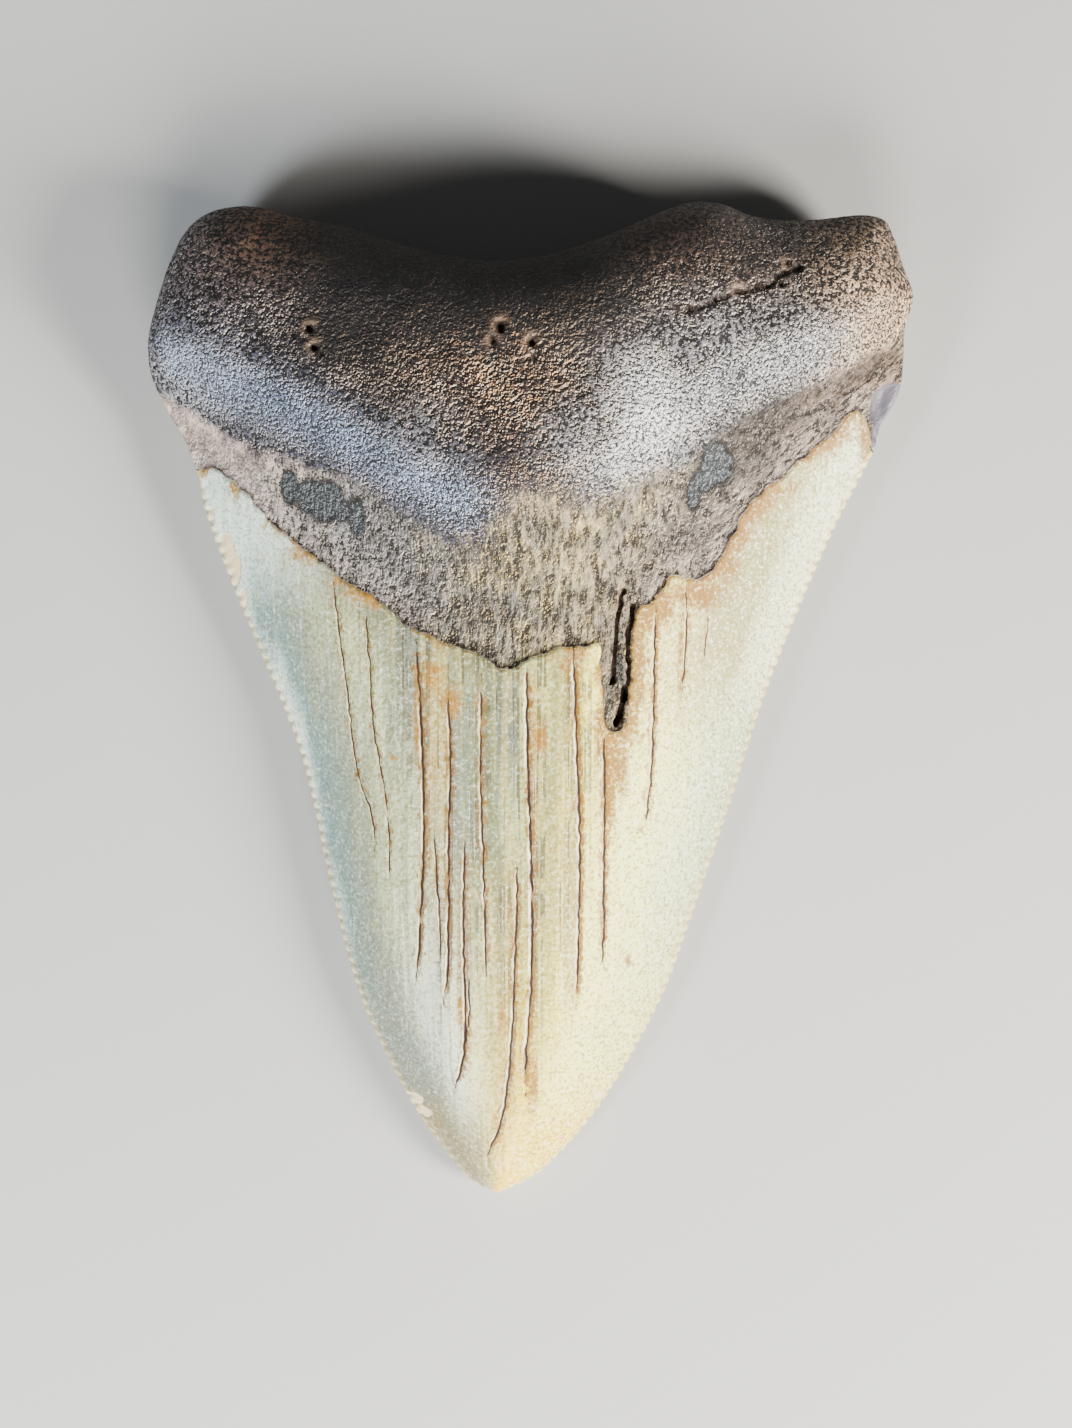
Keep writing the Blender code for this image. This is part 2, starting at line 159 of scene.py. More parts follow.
# The split below the enamel line is open down both sides of its tongue of root.
GAPS = [
    ([(8.5, 10.6), (7.9, 7.2), (7.8, 4.7), (7.5, 2.1)], 0.15, 0.7),
    ([(9.5, 9.2), (9, 6.1), (9.1, 3.4), (8.8, 0.6)], 0.22, 0.9),
    ([(8.7, 1.6), (8.5, -0.2), (8, -1.5)], 0.34, 1),
]
# A crease of small hollows on the right lobe, and the fold at its shoulder.
GROOVES = [
    ([(12.8, 34.6), (15.4, 35.3), (17.3, 36.6)], 0.42, 0.4),
    ([(19.4, 37), (22.1, 38.4), (24.3, 40)], 0.45, 0.45),
    ([(28.6, 28.8), (31.2, 31.4), (34.4, 33.6)], 1, 0.4),
]
# The root's openings and hollows: x, y, radius, depth.
PITS = [
    (-2.5, 32.6, 0.55, 0.6), (-3.1, 31.2, 0.42, 0.4), (0.2, 31.1, 0.5, 0.6), (0.4, 29.9, 0.3, 0.4),
    (-19.5, 33.6, 0.45, 0.7), (-19.1, 31.8, 0.42, 0.7), (-18.4, 31.2, 0.3, 0.5), (-21, 33.2, 0.25, 0.4),
    (13.9, 34.9, 0.3, 0.4), (16.4, 36, 0.34, 0.5), (18.6, 36.9, 0.42, 0.6), (20.4, 38, 0.3, 0.4),
    (22.6, 38, 0.34, 0.5), (23.4, 40.2, 0.4, 0.5), (-27, 37.2, 0.3, 0.4),
]
# Rust stains on the enamel, dark patches left on the band, worn chips in the cutting edges, painted
# highlight spots on the root's ridge, where its grain is also finer and glossier, and the smooth bare
# shoulder by its right lobe: (x, y, reach across, reach along, strength).
SPOTS = {
    "stain": [
        (-8.9, 2.7, 1, 1.5, 0.8), (-7.2, 0.2, 0.9, 1.4, 1), (0.9, -2.9, 0.7, 1.3, 1),
        (4.3, 4.6, 1.3, 1.1, 0.7), (3.3, 3.6, 0.9, 0.8, 0.7), (-10.3, -1.8, 0.5, 3.6, 0.9),
        (9.3, -24.2, 0.3, 0.7, 0.9), (7.4, -4, 1.1, 2.6, 1.15), (7.4, -7.5, 0.6, 3.8, 1.05),
        (8.3, -5.5, 0.8, 2.6, 0.95), (12.2, 9.4, 1.1, 2, 0.95), (15.5, 10.4, 2.6, 1.5, 0.95),
        (18.3, 13.4, 1.2, 1.8, 0.95), (9.9, 4, 0.8, 4.5, 1), (10.6, 8, 1, 1.8, 0.9),
        (0.2, -35.4, 0.6, 3.4, 0.8), (-6.3, -28.4, 0.6, 1.4, 1), (-5.9, -31.5, 0.5, 3, 0.6),
        (-3.2, -40.2, 0.5, 2, 0.6), (-12.7, -4.7, 0.35, 0.4, 0.8), (-16.5, 11.6, 2.4, 0.8, 0.7),
        (-21, 14.2, 2.2, 0.8, 0.7), (2.2, -12, 0.8, 6, 0.35), (-1.6, -18, 0.8, 6, 0.4),
        (8.2, 1, 0.3, 0.5, 0.9), (-8.9, -6, 0.7, 5, 0.3), (10.4, -9, 2.2, 9, 0.06),
        (-9.3, -39.8, 0.8, 1.6, 0.4), (10.3, -11.6, 0.3, 0.4, 0.9), (14, 5, 0.35, 5, 0.6),
        (-2.6, -29.4, 0.35, 1.6, 0.8), (-7.6, -19, 0.3, 2, 0.8), (-9.6, -12, 0.3, 4, 0.7),
        (-4.6, 0.6, 0.5, 1, 0.6),
    ],
    "patch": [
        (-22.4, 20.3, 0.7, 1.2, 1), (-20.4, 19.3, 1, 1.1, 1.1), (-18.7, 18.7, 1.3, 1.3, 1.2),
        (-15.8, 17.2, 0.7, 1.5, 0.8), (-17.2, 17.8, 0.7, 0.9, 0.7), (17, 21.9, 1.2, 1.4, 1.1),
        (15.9, 20.4, 1, 0.8, 0.9), (14.9, 19.2, 0.6, 1.3, 0.8), (8.3, 4.6, 0.8, 3.8, 0.3),
    ],
    "chip": [
        (-29.4, 15.6, 0.7, 1.1, 1), (-28.8, 13.4, 0.8, 1.6, 1), (-27.8, 10.6, 0.4, 1, 0.8),
        (-30.9, 18.3, 0.4, 0.9, 0.8), (-11.6, -38.4, 1.2, 0.7, 0.9), (-10.4, -39.6, 1, 0.7, 0.8),
        (6.6, -38, 0.5, 0.6, 0.9),
    ],
    "sheen_spot": [
        (-10, 22.7, 3, 2.8, 0.3), (-33, 31, 4.5, 3, 0.35), (10.4, 25.8, 3.2, 4.4, 1.3),
        (5, 22.5, 3, 2.6, 0.5), (19, 32, 6.5, 3, 0.35),
    ],
    "shoulder": [(34.9, 28.6, 1.9, 2.0, 1.3), (34.0, 25.9, 1.0, 1.8, 1.2)],
}
# Tan and grey strips between the cracks: (left, right, top, bottom, strength).
STRIPS = {
    "tan": [
        (-9.9, -7.4, 4, -11, 0.85), (-0.1, 1.1, 3, -22, 0.7), (-3.6, -1.4, -14, -40, 0.5),
        (3, 4.3, 5, -28, 0.5), (9.6, 16.5, 14, 0, 0.4),
    ],
    "grey": [
        (-7.2, -4.4, 2, -16, 0.6), (-4, -1, 3, -7, 0.95), (-13.4, -10.2, 8.5, -5, 0.7),
        (-16.4, -13.6, 11, 2, 0.4), (4.6, 6.3, -2, -8, 0.4),
    ],
}
# How fast a strip fades at its sides, its top and its bottom.
STRIP_SIDE, STRIP_TOP, STRIP_BOTTOM = 0.25, 1.5, 5.0
# How ragged the drawn lines turn out: a size, a wavelength and a seed, which differs for each crack.
ENAMEL_RAGGEDNESS = ((0.3, 1.4, 2.0), (0.16, 0.5, 5.0))
CRACK_RAGGEDNESS = (0.13, 0.9)
GAP_RAGGEDNESS = (0.22, 1.0, 30.0)
GROOVE_RAGGEDNESS = (0.5, 1.2, 40.0)
# Each channel's border is rounded a little, rust follows the cracks, and each opening wide enough
# for it has a raised lip.
CHANNEL_ROUND = 0.03
CRACK_SURROUNDINGS = 1.5
HALO_REACH = 0.5
LIP_HEIGHT = 0.24
LIP_WIDTH = 0.32
SMALLEST_LIPPED = 0.35
BAND_WIDTH_BELOW = 6.0  # the bare band on the lower face
# Spacings of the mesh's points, and the room that a row's or the grid's points keep round them.
FINE_GRID = 0.3
UNDER_GRID = 0.52
GRID_HALF_WIDTH, GRID_HALF_LENGTH = 38.0, 49.0
PATH_SPACING = 0.05
LOOKUP_SPACING = 0.06
ROOT_RIM_SPACING = 0.26
ENAMEL_EDGE_SPACING = 0.22
RIM_ROW_SPACING, CRACK_ROW_SPACING, GAP_ROW_SPACING = 0.14, 0.25, 0.2
ROW_OFFSET = 0.13
RIM_ROOM = 0.09
ROW_ROOM = 0.07
GRID_ROOM = 0.17
GRID_RIM_ROOM = 0.25
BEYOND = 60.0  # well outside the tooth
MM = 0.001


def along(path):
    """The distance from the start of a path to each of its points."""
    return np.concatenate([[0.0], np.cumsum(np.linalg.norm(np.diff(path, axis=0), axis=1))])


def evenly(path, spacing):
    """The path's points placed again at one even spacing."""
    length = along(path)
    at = np.linspace(0.0, length[-1], max(2, round(length[-1] / spacing)) + 1)
    return np.column_stack([np.interp(at, length, path[:, axis]) for axis in range(2)])


def smooth_curve(landmarks, spacing):
    """Evenly spaced points on a Catmull-Rom curve through the landmarks."""
    marks = np.array(landmarks, float)
    marks = np.vstack([2 * marks[0] - marks[1], marks, 2 * marks[-1] - marks[-2]])
    t = np.linspace(0.0, 1.0, 24, endpoint=False)[:, None]
    stretches = []
    for a, b, c, d in zip(marks, marks[1:], marks[2:], marks[3:]):
        bend = 2 * a - 5 * b + 4 * c - d + t * (3 * b - a - 3 * c + d)
        stretches.append(b + 0.5 * t * (c - a + t * bend))
    return evenly(np.vstack(stretches + [marks[-2:-1]]), spacing)


def profile(landmarks):
    """A smooth function through (place, value) landmarks."""
    curve = smooth_curve(landmarks, 0.1)
    return lambda at: np.interp(at, curve[:, 0], curve[:, 1])


def swapped(landmarks):
    """(x, y) landmarks as (y, x) ones."""
    return [(y, x) for x, y in landmarks]


def step(start, end, value):
    """0 up to start, 1 from end, and an even S between them."""
    t = np.clip((value - start) / (end - start), 0.0, 1.0)
    return t * t * (3.0 - 2.0 * t)


def roll_off(distance, reach):
    """An elliptical rounding: 0 at the rim, 1 from `reach` inwards."""
    t = np.clip(distance / reach, 0.0, 1.0)
    return (1.0 - (1.0 - t) ** 2.2) ** 0.55


def aside(path):
    """The unit direction to the left of a path at each of its points."""
    ahead = np.gradient(path, axis=0)
    return np.column_stack([-ahead[:, 1], ahead[:, 0]]) / np.linalg.norm(ahead, axis=1)[:, None]


def lookup(points):
    """A search tree over (x, y) points."""
    found = kdtree.KDTree(max(len(points), 1))
    for index, (x, y) in enumerate(points):
        found.insert((x, y, 0.0), index)
    found.balance()
    return found


def nearness(path):
    """A function giving the distance from any points to a densely sampled path."""
    found = lookup(path)
    return lambda points: np.array([found.find((x, y, 0.0))[2] for x, y in points])


def inside(points, outline):
    """Whether each point lies within the closed outline."""
    count = np.zeros(len(points), int)
    x, y = points.T
    for (ax, ay), (bx, by) in zip(outline, np.roll(outline, -1, axis=0)):
        if ay != by:
            count += ((ay > y) != (by > y)) & (x < ax + (y - ay) * (bx - ax) / (by - ay))
    return count % 2 == 1


def wobble(path, size, wavelength, seed):
    """The path with a little natural raggedness to its left and right."""
    shift = [noise(Vector((x / wavelength, y / wavelength, seed))) for x, y in path]
    return path + aside(path) * (size * np.array(shift))[:, None]


left_x = profile(swapped(LEFT_EDGE))
right_x = profile(swapped(RIGHT_EDGE))
edge_height = profile(EDGE_HEIGHT)
crown_height = profile(CROWN_HEIGHT)
root_height = profile(ROOT_HEIGHT)
underside_height = profile(UNDERSIDE_HEIGHT)
enamel_line_below = profile(ENAMEL_LINE_BELOW)
band_line = profile(BAND_LINE)
ridge_line = profile(RIDGE_LINE)
band_top = profile(BAND_TOP)


def cutting_edge(landmarks, side):
    """Points along a cutting edge from the tip, with their serration count and inward direction."""
    edge = smooth_curve(landmarks, 0.1)
    length = along(edge)
    teeth = round(length[-1] / SERRATION_PITCH)
    at = np.linspace(0.0, length[-1], SERRATION_POINTS * teeth + 1)
    points = np.column_stack([np.interp(at, length, edge[:, axis]) for axis in range(2)])
    wear = step(0.0, TIP_WEAR, at) * step(0.0, SHOULDER_WEAR, length[-1] - at)
    return points, at / length[-1] * teeth, aside(points) * side * wear[:, None]


right_rim, right_count, right_inward = cutting_edge(RIGHT_EDGE, 1.0)
left_rim, left_count, left_inward = cutting_edge(LEFT_EDGE, -1.0)
root_rim = smooth_curve(ROOT_RIM, ROOT_RIM_SPACING)
rim = np.vstack([right_rim[:-1], root_rim[:-1], left_rim[:0:-1]])
closed_rim = np.vstack([rim, rim[:1]])
rim_count = np.concatenate([right_count[:-1], np.zeros(len(root_rim) - 1), left_count[:0:-1]])
rim_inward = np.vstack([right_inward[:-1], np.zeros((len(root_rim) - 1, 2)), left_inward[:0:-1]])
enamel_edge = smooth_curve(ENAMEL_LINE, ENAMEL_EDGE_SPACING)
for raggedness in ENAMEL_RAGGEDNESS:
    enamel_edge = wobble(enamel_edge, *raggedness)
bare_region = np.vstack([enamel_edge, [(BEYOND, BEYOND), (-BEYOND, BEYOND)]])
rim_distance_of = nearness(evenly(closed_rim, LOOKUP_SPACING))
enamel_distance_of = nearness(evenly(enamel_edge, LOOKUP_SPACING))
cracks = []
for number, (path, _, _) in enumerate(CRACKS):
    cracks.append(wobble(smooth_curve(path, PATH_SPACING), *CRACK_RAGGEDNESS, 10.0 + number))
gaps = [wobble(smooth_curve(path, PATH_SPACING), *GAP_RAGGEDNESS) for path, _, _ in GAPS]


def rim_height(points):
    """The height at which the two faces meet, carried inwards under the whole outline."""
    x, y = points.T
    return edge_height(y) + NOTCH_LIFT * np.exp(-((x / NOTCH_HALF_WIDTH) ** 2)) * step(28.0, 42.0, y)


def across(points):
    """Each point's place across the crown: -1 on the left cutting edge, 1 on the right one."""
    left = left_x(points[:, 1])
    right = right_x(points[:, 1])
    return np.clip((2.0 * points[:, 0] - left - right) / np.maximum(right - left, 0.5), -1.0, 1.0)


def unevenness(points):
    """Gentle lumps over the root, between about -1 and 1."""
    broad = [noise(Vector((x / 5.5, y / 4.5, 0.0))) for x, y in points]
    fine = [noise(Vector((x / 2.4, y / 2.0, 7.0))) for x, y in points]
    return np.array(broad) + 0.5 * np.array(fine)


def channel(distance, half_width):
    """The share of a channel's depth at a distance from its middle."""
    return 1.0 - step(0.4 * half_width, half_width + CHANNEL_ROUND, distance)


def blots(points, places):
    """The strongest of several soft oval spots at each point."""
    strongest = np.zeros(len(points))
    for x, y, reach_x, reach_y, strength in places:
        spread = ((points[:, 0] - x) / reach_x) ** 2 + ((points[:, 1] - y) / reach_y) ** 2
        strongest = np.maximum(strongest, strength * np.exp(-0.7 * spread))
    return strongest


def strips(points, places):
    """The strongest of several soft-ended strips that run along the tooth."""
    x, y = points.T
    strongest = np.zeros(len(points))
    for left, right, top, bottom, strength in places:
        across_strip = step(-STRIP_SIDE, STRIP_SIDE, x - left) * step(-STRIP_SIDE, STRIP_SIDE, right - x)
        along_strip = step(-STRIP_TOP, STRIP_TOP, top - y) * step(-STRIP_BOTTOM, STRIP_BOTTOM, y - bottom)
        strongest = np.maximum(strongest, strength * across_strip * along_strip)
    return strongest


def upper_face(points, rim_distance):
    """Heights of the upper face, and what its finish needs to know at each point."""
    x, y = points.T
    edge = rim_height(points)
    round_edge = EDGE_HALF_THICKNESS * roll_off(rim_distance, EDGE_ROUND)
    lens = (1.0 - np.abs(across(points)) ** CROWN_FLATNESS) ** CROWN_SHOULDER
    crown = edge + (crown_height(y) - edge) * lens + round_edge
    bulge = root_height(x) - ROOT_FALL * np.maximum(y - ROOT_CREST_Y, 0.0) ** 2
    lumps = ROOT_LUMPS * unevenness(points) * np.minimum(rim_distance / RIM_CALM, 1.0)
    root = edge + (bulge - edge) * roll_off(rim_distance, ROOT_ROUND) + lumps
    start = band_line(x) - BAND_START
    climbed = np.clip((y - start) / (ridge_line(x) + RIDGE_RISE - start), 0.0, 1.0)
    height = crown + (root - crown) * step(0.0, 1.0, climbed ** RISE_BIAS)
    bare = enamel_distance_of(points) * np.where(inside(points, bare_region), 1.0, -1.0)
    below_enamel = step(-ENAMEL_RAMP, ENAMEL_RAMP, bare) * (1.0 - step(0.5, ENAMEL_FADE, bare))
    height -= ENAMEL_THICKNESS * below_enamel * np.minimum(rim_distance / 1.5, 1.0)
    dark, split, halo, crack_highlight, lip = np.zeros((5, len(points)))
    for crack, (_, half_width, depth) in zip(cracks, CRACKS):
        clear = np.maximum(crack.min(axis=0) - points, points - crack.max(axis=0)).max(axis=1)
        close = np.flatnonzero(clear < CRACK_SURROUNDINGS)
        near = points[close]
        distance = nearness(crack)(near)
        ends = np.minimum(np.hypot(*(near - crack[0]).T), np.hypot(*(near - crack[-1]).T))
        fade = 0.35 + 0.65 * step(0.0, 3.0, ends)
        share = channel(distance, half_width) * fade * (bare[close] < 0.0)
        height[close] -= depth * share
        split[close] = np.maximum(split[close], share)
        glow = np.exp(-((distance / HALO_REACH) ** 2)) * fade * min(1.0, half_width / 0.12)
        halo[close] = np.maximum(halo[close], glow)
        # Painted highlight: a thin line along the left side of each crack, where its wall would face the
        # right-hand light.
        beside_crack = nearness(crack - aside(crack) * (half_width + 0.1))(near)
        strength = 1.0 if half_width > 0.13 else 0.75 * min(1.0, half_width / 0.1)
        lit = np.exp(-((beside_crack / 0.13) ** 2)) * fade * (bare[close] < -0.1) * strength
        crack_highlight[close] = np.maximum(crack_highlight[close], lit)
    ragged = np.array([noise(Vector((a / 0.7, b / 0.7, 4.0))) for a, b in points])
    for gap, (_, half_width, depth) in zip(gaps, GAPS):
        share = channel(nearness(gap)(points) + 0.5 * half_width * ragged, half_width)
        height -= depth * share
        dark = np.maximum(dark, share)
    for path, half_width, depth in GROOVES:
        groove = wobble(smooth_curve(path, 0.1), *GROOVE_RAGGEDNESS)
        distance = nearness(groove)(points) + 0.35 * half_width * ragged
        share = channel(distance, half_width)
        height -= depth * share
        dark = np.maximum(dark, 0.4 * share)
    for pit_x, pit_y, radius, depth in PITS:
        distance = np.hypot(x - pit_x, y - pit_y) + 0.55 * radius * ragged
        share = 1.0 - step(0.3 * radius, 1.15 * radius, distance)
        towards_left_lobe = np.clip(0.55 + 0.6 * ((pit_x - x) + (y - pit_y)) / (distance + 0.3), 0.0, 1.4)
        rim_ring = np.exp(-(((distance - 1.25 * radius - 0.1) / LIP_WIDTH) ** 2))
        raised = rim_ring * towards_left_lobe * (0.6 + ragged) * (radius > SMALLEST_LIPPED)
        height += LIP_HEIGHT * raised - depth * share
        dark = np.maximum(dark, share)
        lip = np.maximum(lip, raised)
    ridge = np.exp(-(((y - ridge_line(x)) / RIDGE_HALF_WIDTH) ** 2)) * step(0.0, RIM_CALM, rim_distance)
    warm = np.exp(-(((x + 3.5) / 14.0) ** 2) - (((y - 27.0 - 0.012 * x * x) / 6.0) ** 2))
    marks = {"bare": bare, "above_band": y - band_top(x), "split": split, "halo": halo, "crack_highlight": crack_highlight}
    marks |= {"dark": dark, "lip": lip, "ridge": ridge, "warm": warm}
    marks |= {name: blots(points, places) for name, places in SPOTS.items()}
    marks |= {name: strips(points, places) for name, places in STRIPS.items()}
    return height, marks


def lower_face(points, rim_distance):
    """Heights of the lower face, which rests on a worn flat of each root lobe and near the tip."""
    x, y = points.T
    edge = rim_height(points)
    round_edge = EDGE_HALF_THICKNESS * roll_off(rim_distance, EDGE_ROUND)
    hollow = UNDERSIDE_HOLLOW * np.exp(-((x / HOLLOW_HALF_WIDTH) ** 2)) * step(12.0, 30.0, y)
    floor = underside_height(y) + hollow
    crown = edge - (edge - floor) * (1.0 - np.abs(across(points)) ** UNDERSIDE_FLATNESS) - round_edge
    root = edge - (edge - floor) * roll_off(rim_distance, ROOT_UNDER_ROUND)
    bare = y - enamel_line_below(x)
    height = np.maximum(crown + (root - crown) * step(-3.5, 5.5, bare), 0.0)
    return height, {"bare": bare, "above_band": bare - BAND_WIDTH_BELOW}


def rows_beside(path, offsets, spacing):
    """Rows of points at distances to the left of a path."""
    curve = evenly(path, spacing)
    return [curve + aside(curve) * offset for offset in offsets]


def honeycomb(spacing):
    """A regular triangular grid over the tooth's box."""
    xs = np.arange(-GRID_HALF_WIDTH, GRID_HALF_WIDTH, spacing)
    ys = np.arange(-GRID_HALF_LENGTH, GRID_HALF_LENGTH, spacing * 0.75 ** 0.5)
    grid_x, grid_y = np.meshgrid(xs, ys)
    grid_x[1::2] += 0.5 * spacing
    return np.column_stack([grid_x.ravel(), grid_y.ravel()])


def thinned(rows, grid, room):
    """The rows' points, each with a little room round it, then the grid points that lie clear of them."""
    points = []
    for row in rows:
        taken = lookup(points)
        for x, y in row:
            nearest = taken.find((x, y, 0.0))[2]
            if nearest is None or nearest > ROW_ROOM:
                points.append((x, y))
    return np.vstack([points, grid[nearness(points)(grid) > room]])


def filled(inner):
    """Triangles over the whole outline through its own points and the inner ones.

    Where an edge would join two points of the rim across the face, its middle becomes a point too,
    so that the upper and the lower face never share an edge inside the rim."""
    while True:
        points = np.vstack([rim, inner])
        made = delaunay_2d_cdt([Vector(p) for p in points], [], [list(range(len(rim)))], 1, 1e-7)
        faces = np.array(made[2])
        assert len(made[0]) == len(points)
        edges = np.vstack([faces[:, [0, 1]], faces[:, [1, 2]], faces[:, [2, 0]]])
        edges = np.unique(np.sort(edges, axis=1), axis=0)
        gap = edges[:, 1] - edges[:, 0]
        bridges = edges[(edges[:, 1] < len(rim)) & (gap > 1) & (gap < len(rim) - 1)]
        if not len(bridges):
            return inner, faces
        inner = np.vstack([inner, points[bridges].mean(axis=1)])


def face_points(spacing, rows):
    """The inner points of one face: rows that follow its features, and a grid between them."""
    rim_rows = rows_beside(closed_rim, (ROW_OFFSET,), RIM_ROW_SPACING)
    rows = [row[inside(row, rim)] for row in rim_rows + rows]
    rows = [row[rim_distance_of(row) > RIM_ROOM] for row in rows]
    grid = honeycomb(spacing)
    grid = grid[inside(grid, rim)]
    grid = grid[rim_distance_of(grid) > GRID_RIM_ROOM]
    return filled(thinned(rows, grid, GRID_ROOM))


feature_rows = rows_beside(enamel_edge, (-ROW_OFFSET, ROW_OFFSET), ENAMEL_EDGE_SPACING)
for crack, (_, half_width, _) in zip(cracks, CRACKS):
    reach = half_width + CHANNEL_ROUND
    feature_rows += rows_beside(crack, (0.0, -reach, reach), CRACK_ROW_SPACING)
for gap, (_, half_width, _) in zip(gaps, GAPS):
    offsets = [share * half_width for share in (0.0, -1.0, 1.0, -0.5, 0.5)]
    feature_rows += rows_beside(gap, offsets, GAP_ROW_SPACING)

upper_points, upper_triangles = face_points(FINE_GRID, feature_rows)
lower_points, lower_triangles = face_points(UNDER_GRID, [])
upper_rim_distance, lower_rim_distance = rim_distance_of(upper_points), rim_distance_of(lower_points)
upper_heights, upper_marks = upper_face(upper_points, upper_rim_distance)
lower_heights, lower_marks = lower_face(lower_points, lower_rim_distance)
rim_heights, rim_marks = rim_height(rim), upper_face(rim, np.zeros(len(rim)))[1]

heights = np.concatenate([rim_heights, upper_heights, lower_heights])
vertices = np.column_stack([np.vstack([rim, upper_points, lower_points]), heights]) * MM
shift = np.where(lower_triangles < len(rim), 0, len(upper_points))
triangles = np.vstack([upper_triangles, (lower_triangles + shift)[:, ::-1]])

nothing = np.zeros(len(lower_points))
marks = {
    name: np.concatenate([rim_marks[name], above, lower_marks.get(name, nothing)])
    for name, above in upper_marks.items()
}
marks["across"] = across(vertices[:, :2] / MM)
marks["rim_distance"] = np.concatenate([np.zeros(len(rim)), upper_rim_distance, lower_rim_distance])
rim_lookup = lookup(rim)
beside = np.array([rim_lookup.find((x / MM, y / MM, 0.0))[1] for x, y, z in vertices])
marks["serration"] = rim_count[beside]
marks["pull_x"], marks["pull_y"] = rim_inward[beside].T

tooth_form = bpy.data.meshes.new("tooth_form")
tooth_form.from_pydata(vertices.tolist(), [], triangles.tolist())
for name, values in marks.items():
    tooth_form.attributes.new(name, "FLOAT", "POINT").data.foreach_set("value", values.astype(np.float32))
tooth_form.shade_smooth()


# The finish. Colours are linear, and lengths inside the node trees are in millimetres. The helpers
# add their nodes to `tree`: the material's here, and the relief's further down.
def add(kind, output=0, settings=(), **inputs):
    """A node with its settings and its inputs given or linked by name; returns one of its outputs."""
    made = tree.nodes.new(kind)
    for name, value in dict(settings).items():
        setattr(made, name, value)
    for name, value in inputs.items():
        numbered = name.startswith("in") and name[2:].isdigit()
        socket = made.inputs[int(name[2:]) if numbered else name]
        if isinstance(value, bpy.types.NodeSocket):
            tree.links.new(value, socket)
        else:
            socket.default_value = value
    return made.outputs[output]


def calc(operation, *values):
    """One step of arithmetic on numbers or outputs."""
    inputs = {f"in{number}": value for number, value in enumerate(values)}
    return add("ShaderNodeMath", 0, {"operation": operation}, **inputs)


def times(first, *others):
    """The product of all the values."""
    for other in others:
        first = calc("MULTIPLY", first, other)
    return first


def linear(value, slope, start):
    """The value times the slope, plus the start."""
    return calc("MULTIPLY_ADD", value, slope, start)


def larger(first, second):
    """The larger of two values."""
    return calc("MAXIMUM", first, second)


def apart(first, second):
    """How far two values are from each other."""
    return calc("ABSOLUTE", calc("SUBTRACT", first, second))


def blend(share, first, second):
    """A colour between the first, at share 0, and the second, at share 1."""
    return add("ShaderNodeMix", 2, {"data_type": "RGBA"}, in0=share, in6=first, in7=second)


def paint(under, over, *shares):
    """A colour with another laid over it, by the product of the shares."""
    return blend(times(*shares), under, over)


def between(share, first, second):
    """A number between the first, at share 0, and the second, at share 1."""
    return add("ShaderNodeMix", 0, {"data_type": "FLOAT"}, in0=share, in2=first, in3=second)


def rise(value, start, end):
    """0 up to start, 1 from end, and an even S between them."""
    settings = {"interpolation_type": "SMOOTHSTEP"}
    return add("ShaderNodeMapRange", 0, settings, in0=value, in1=start, in2=end)


def grain(place, scale, stretch=(1.0, 1.0, 1.0), detail=2.0, roughness=0.5):
    """Noise between 0 and 1, `scale` features to a millimetre, drawn out by the stretch."""
    stretched = add("ShaderNodeVectorMath", 0, {"operation": "MULTIPLY"}, in0=place, in1=stretch)
    return add("ShaderNodeTexNoise", Vector=stretched, Scale=scale, Detail=detail, Roughness=roughness)


def axis(place, number):
    """One of a place's coordinates."""
    return add("ShaderNodeSeparateXYZ", number, in0=place)


def mark(name):
    """A value kept at the mesh's points under this name."""
    return add("ShaderNodeAttribute", 2, {"attribute_name": name})


def rgb(red, green, blue):
    """An opaque colour."""
    return (red, green, blue, 1.0)


def ramp(value, stops):
    """A colour ramp with its stops given as (place, red, green, blue)."""
    made = tree.nodes.new("ShaderNodeValToRGB")
    tree.links.new(value, made.inputs[0])
    elements = made.color_ramp.elements
    while len(elements) < len(stops):
        elements.new(0.5)
    for element, (place, *colour) in zip(elements, stops):
        element.position = place
        element.color = rgb(*colour)
    return made.outputs[0]


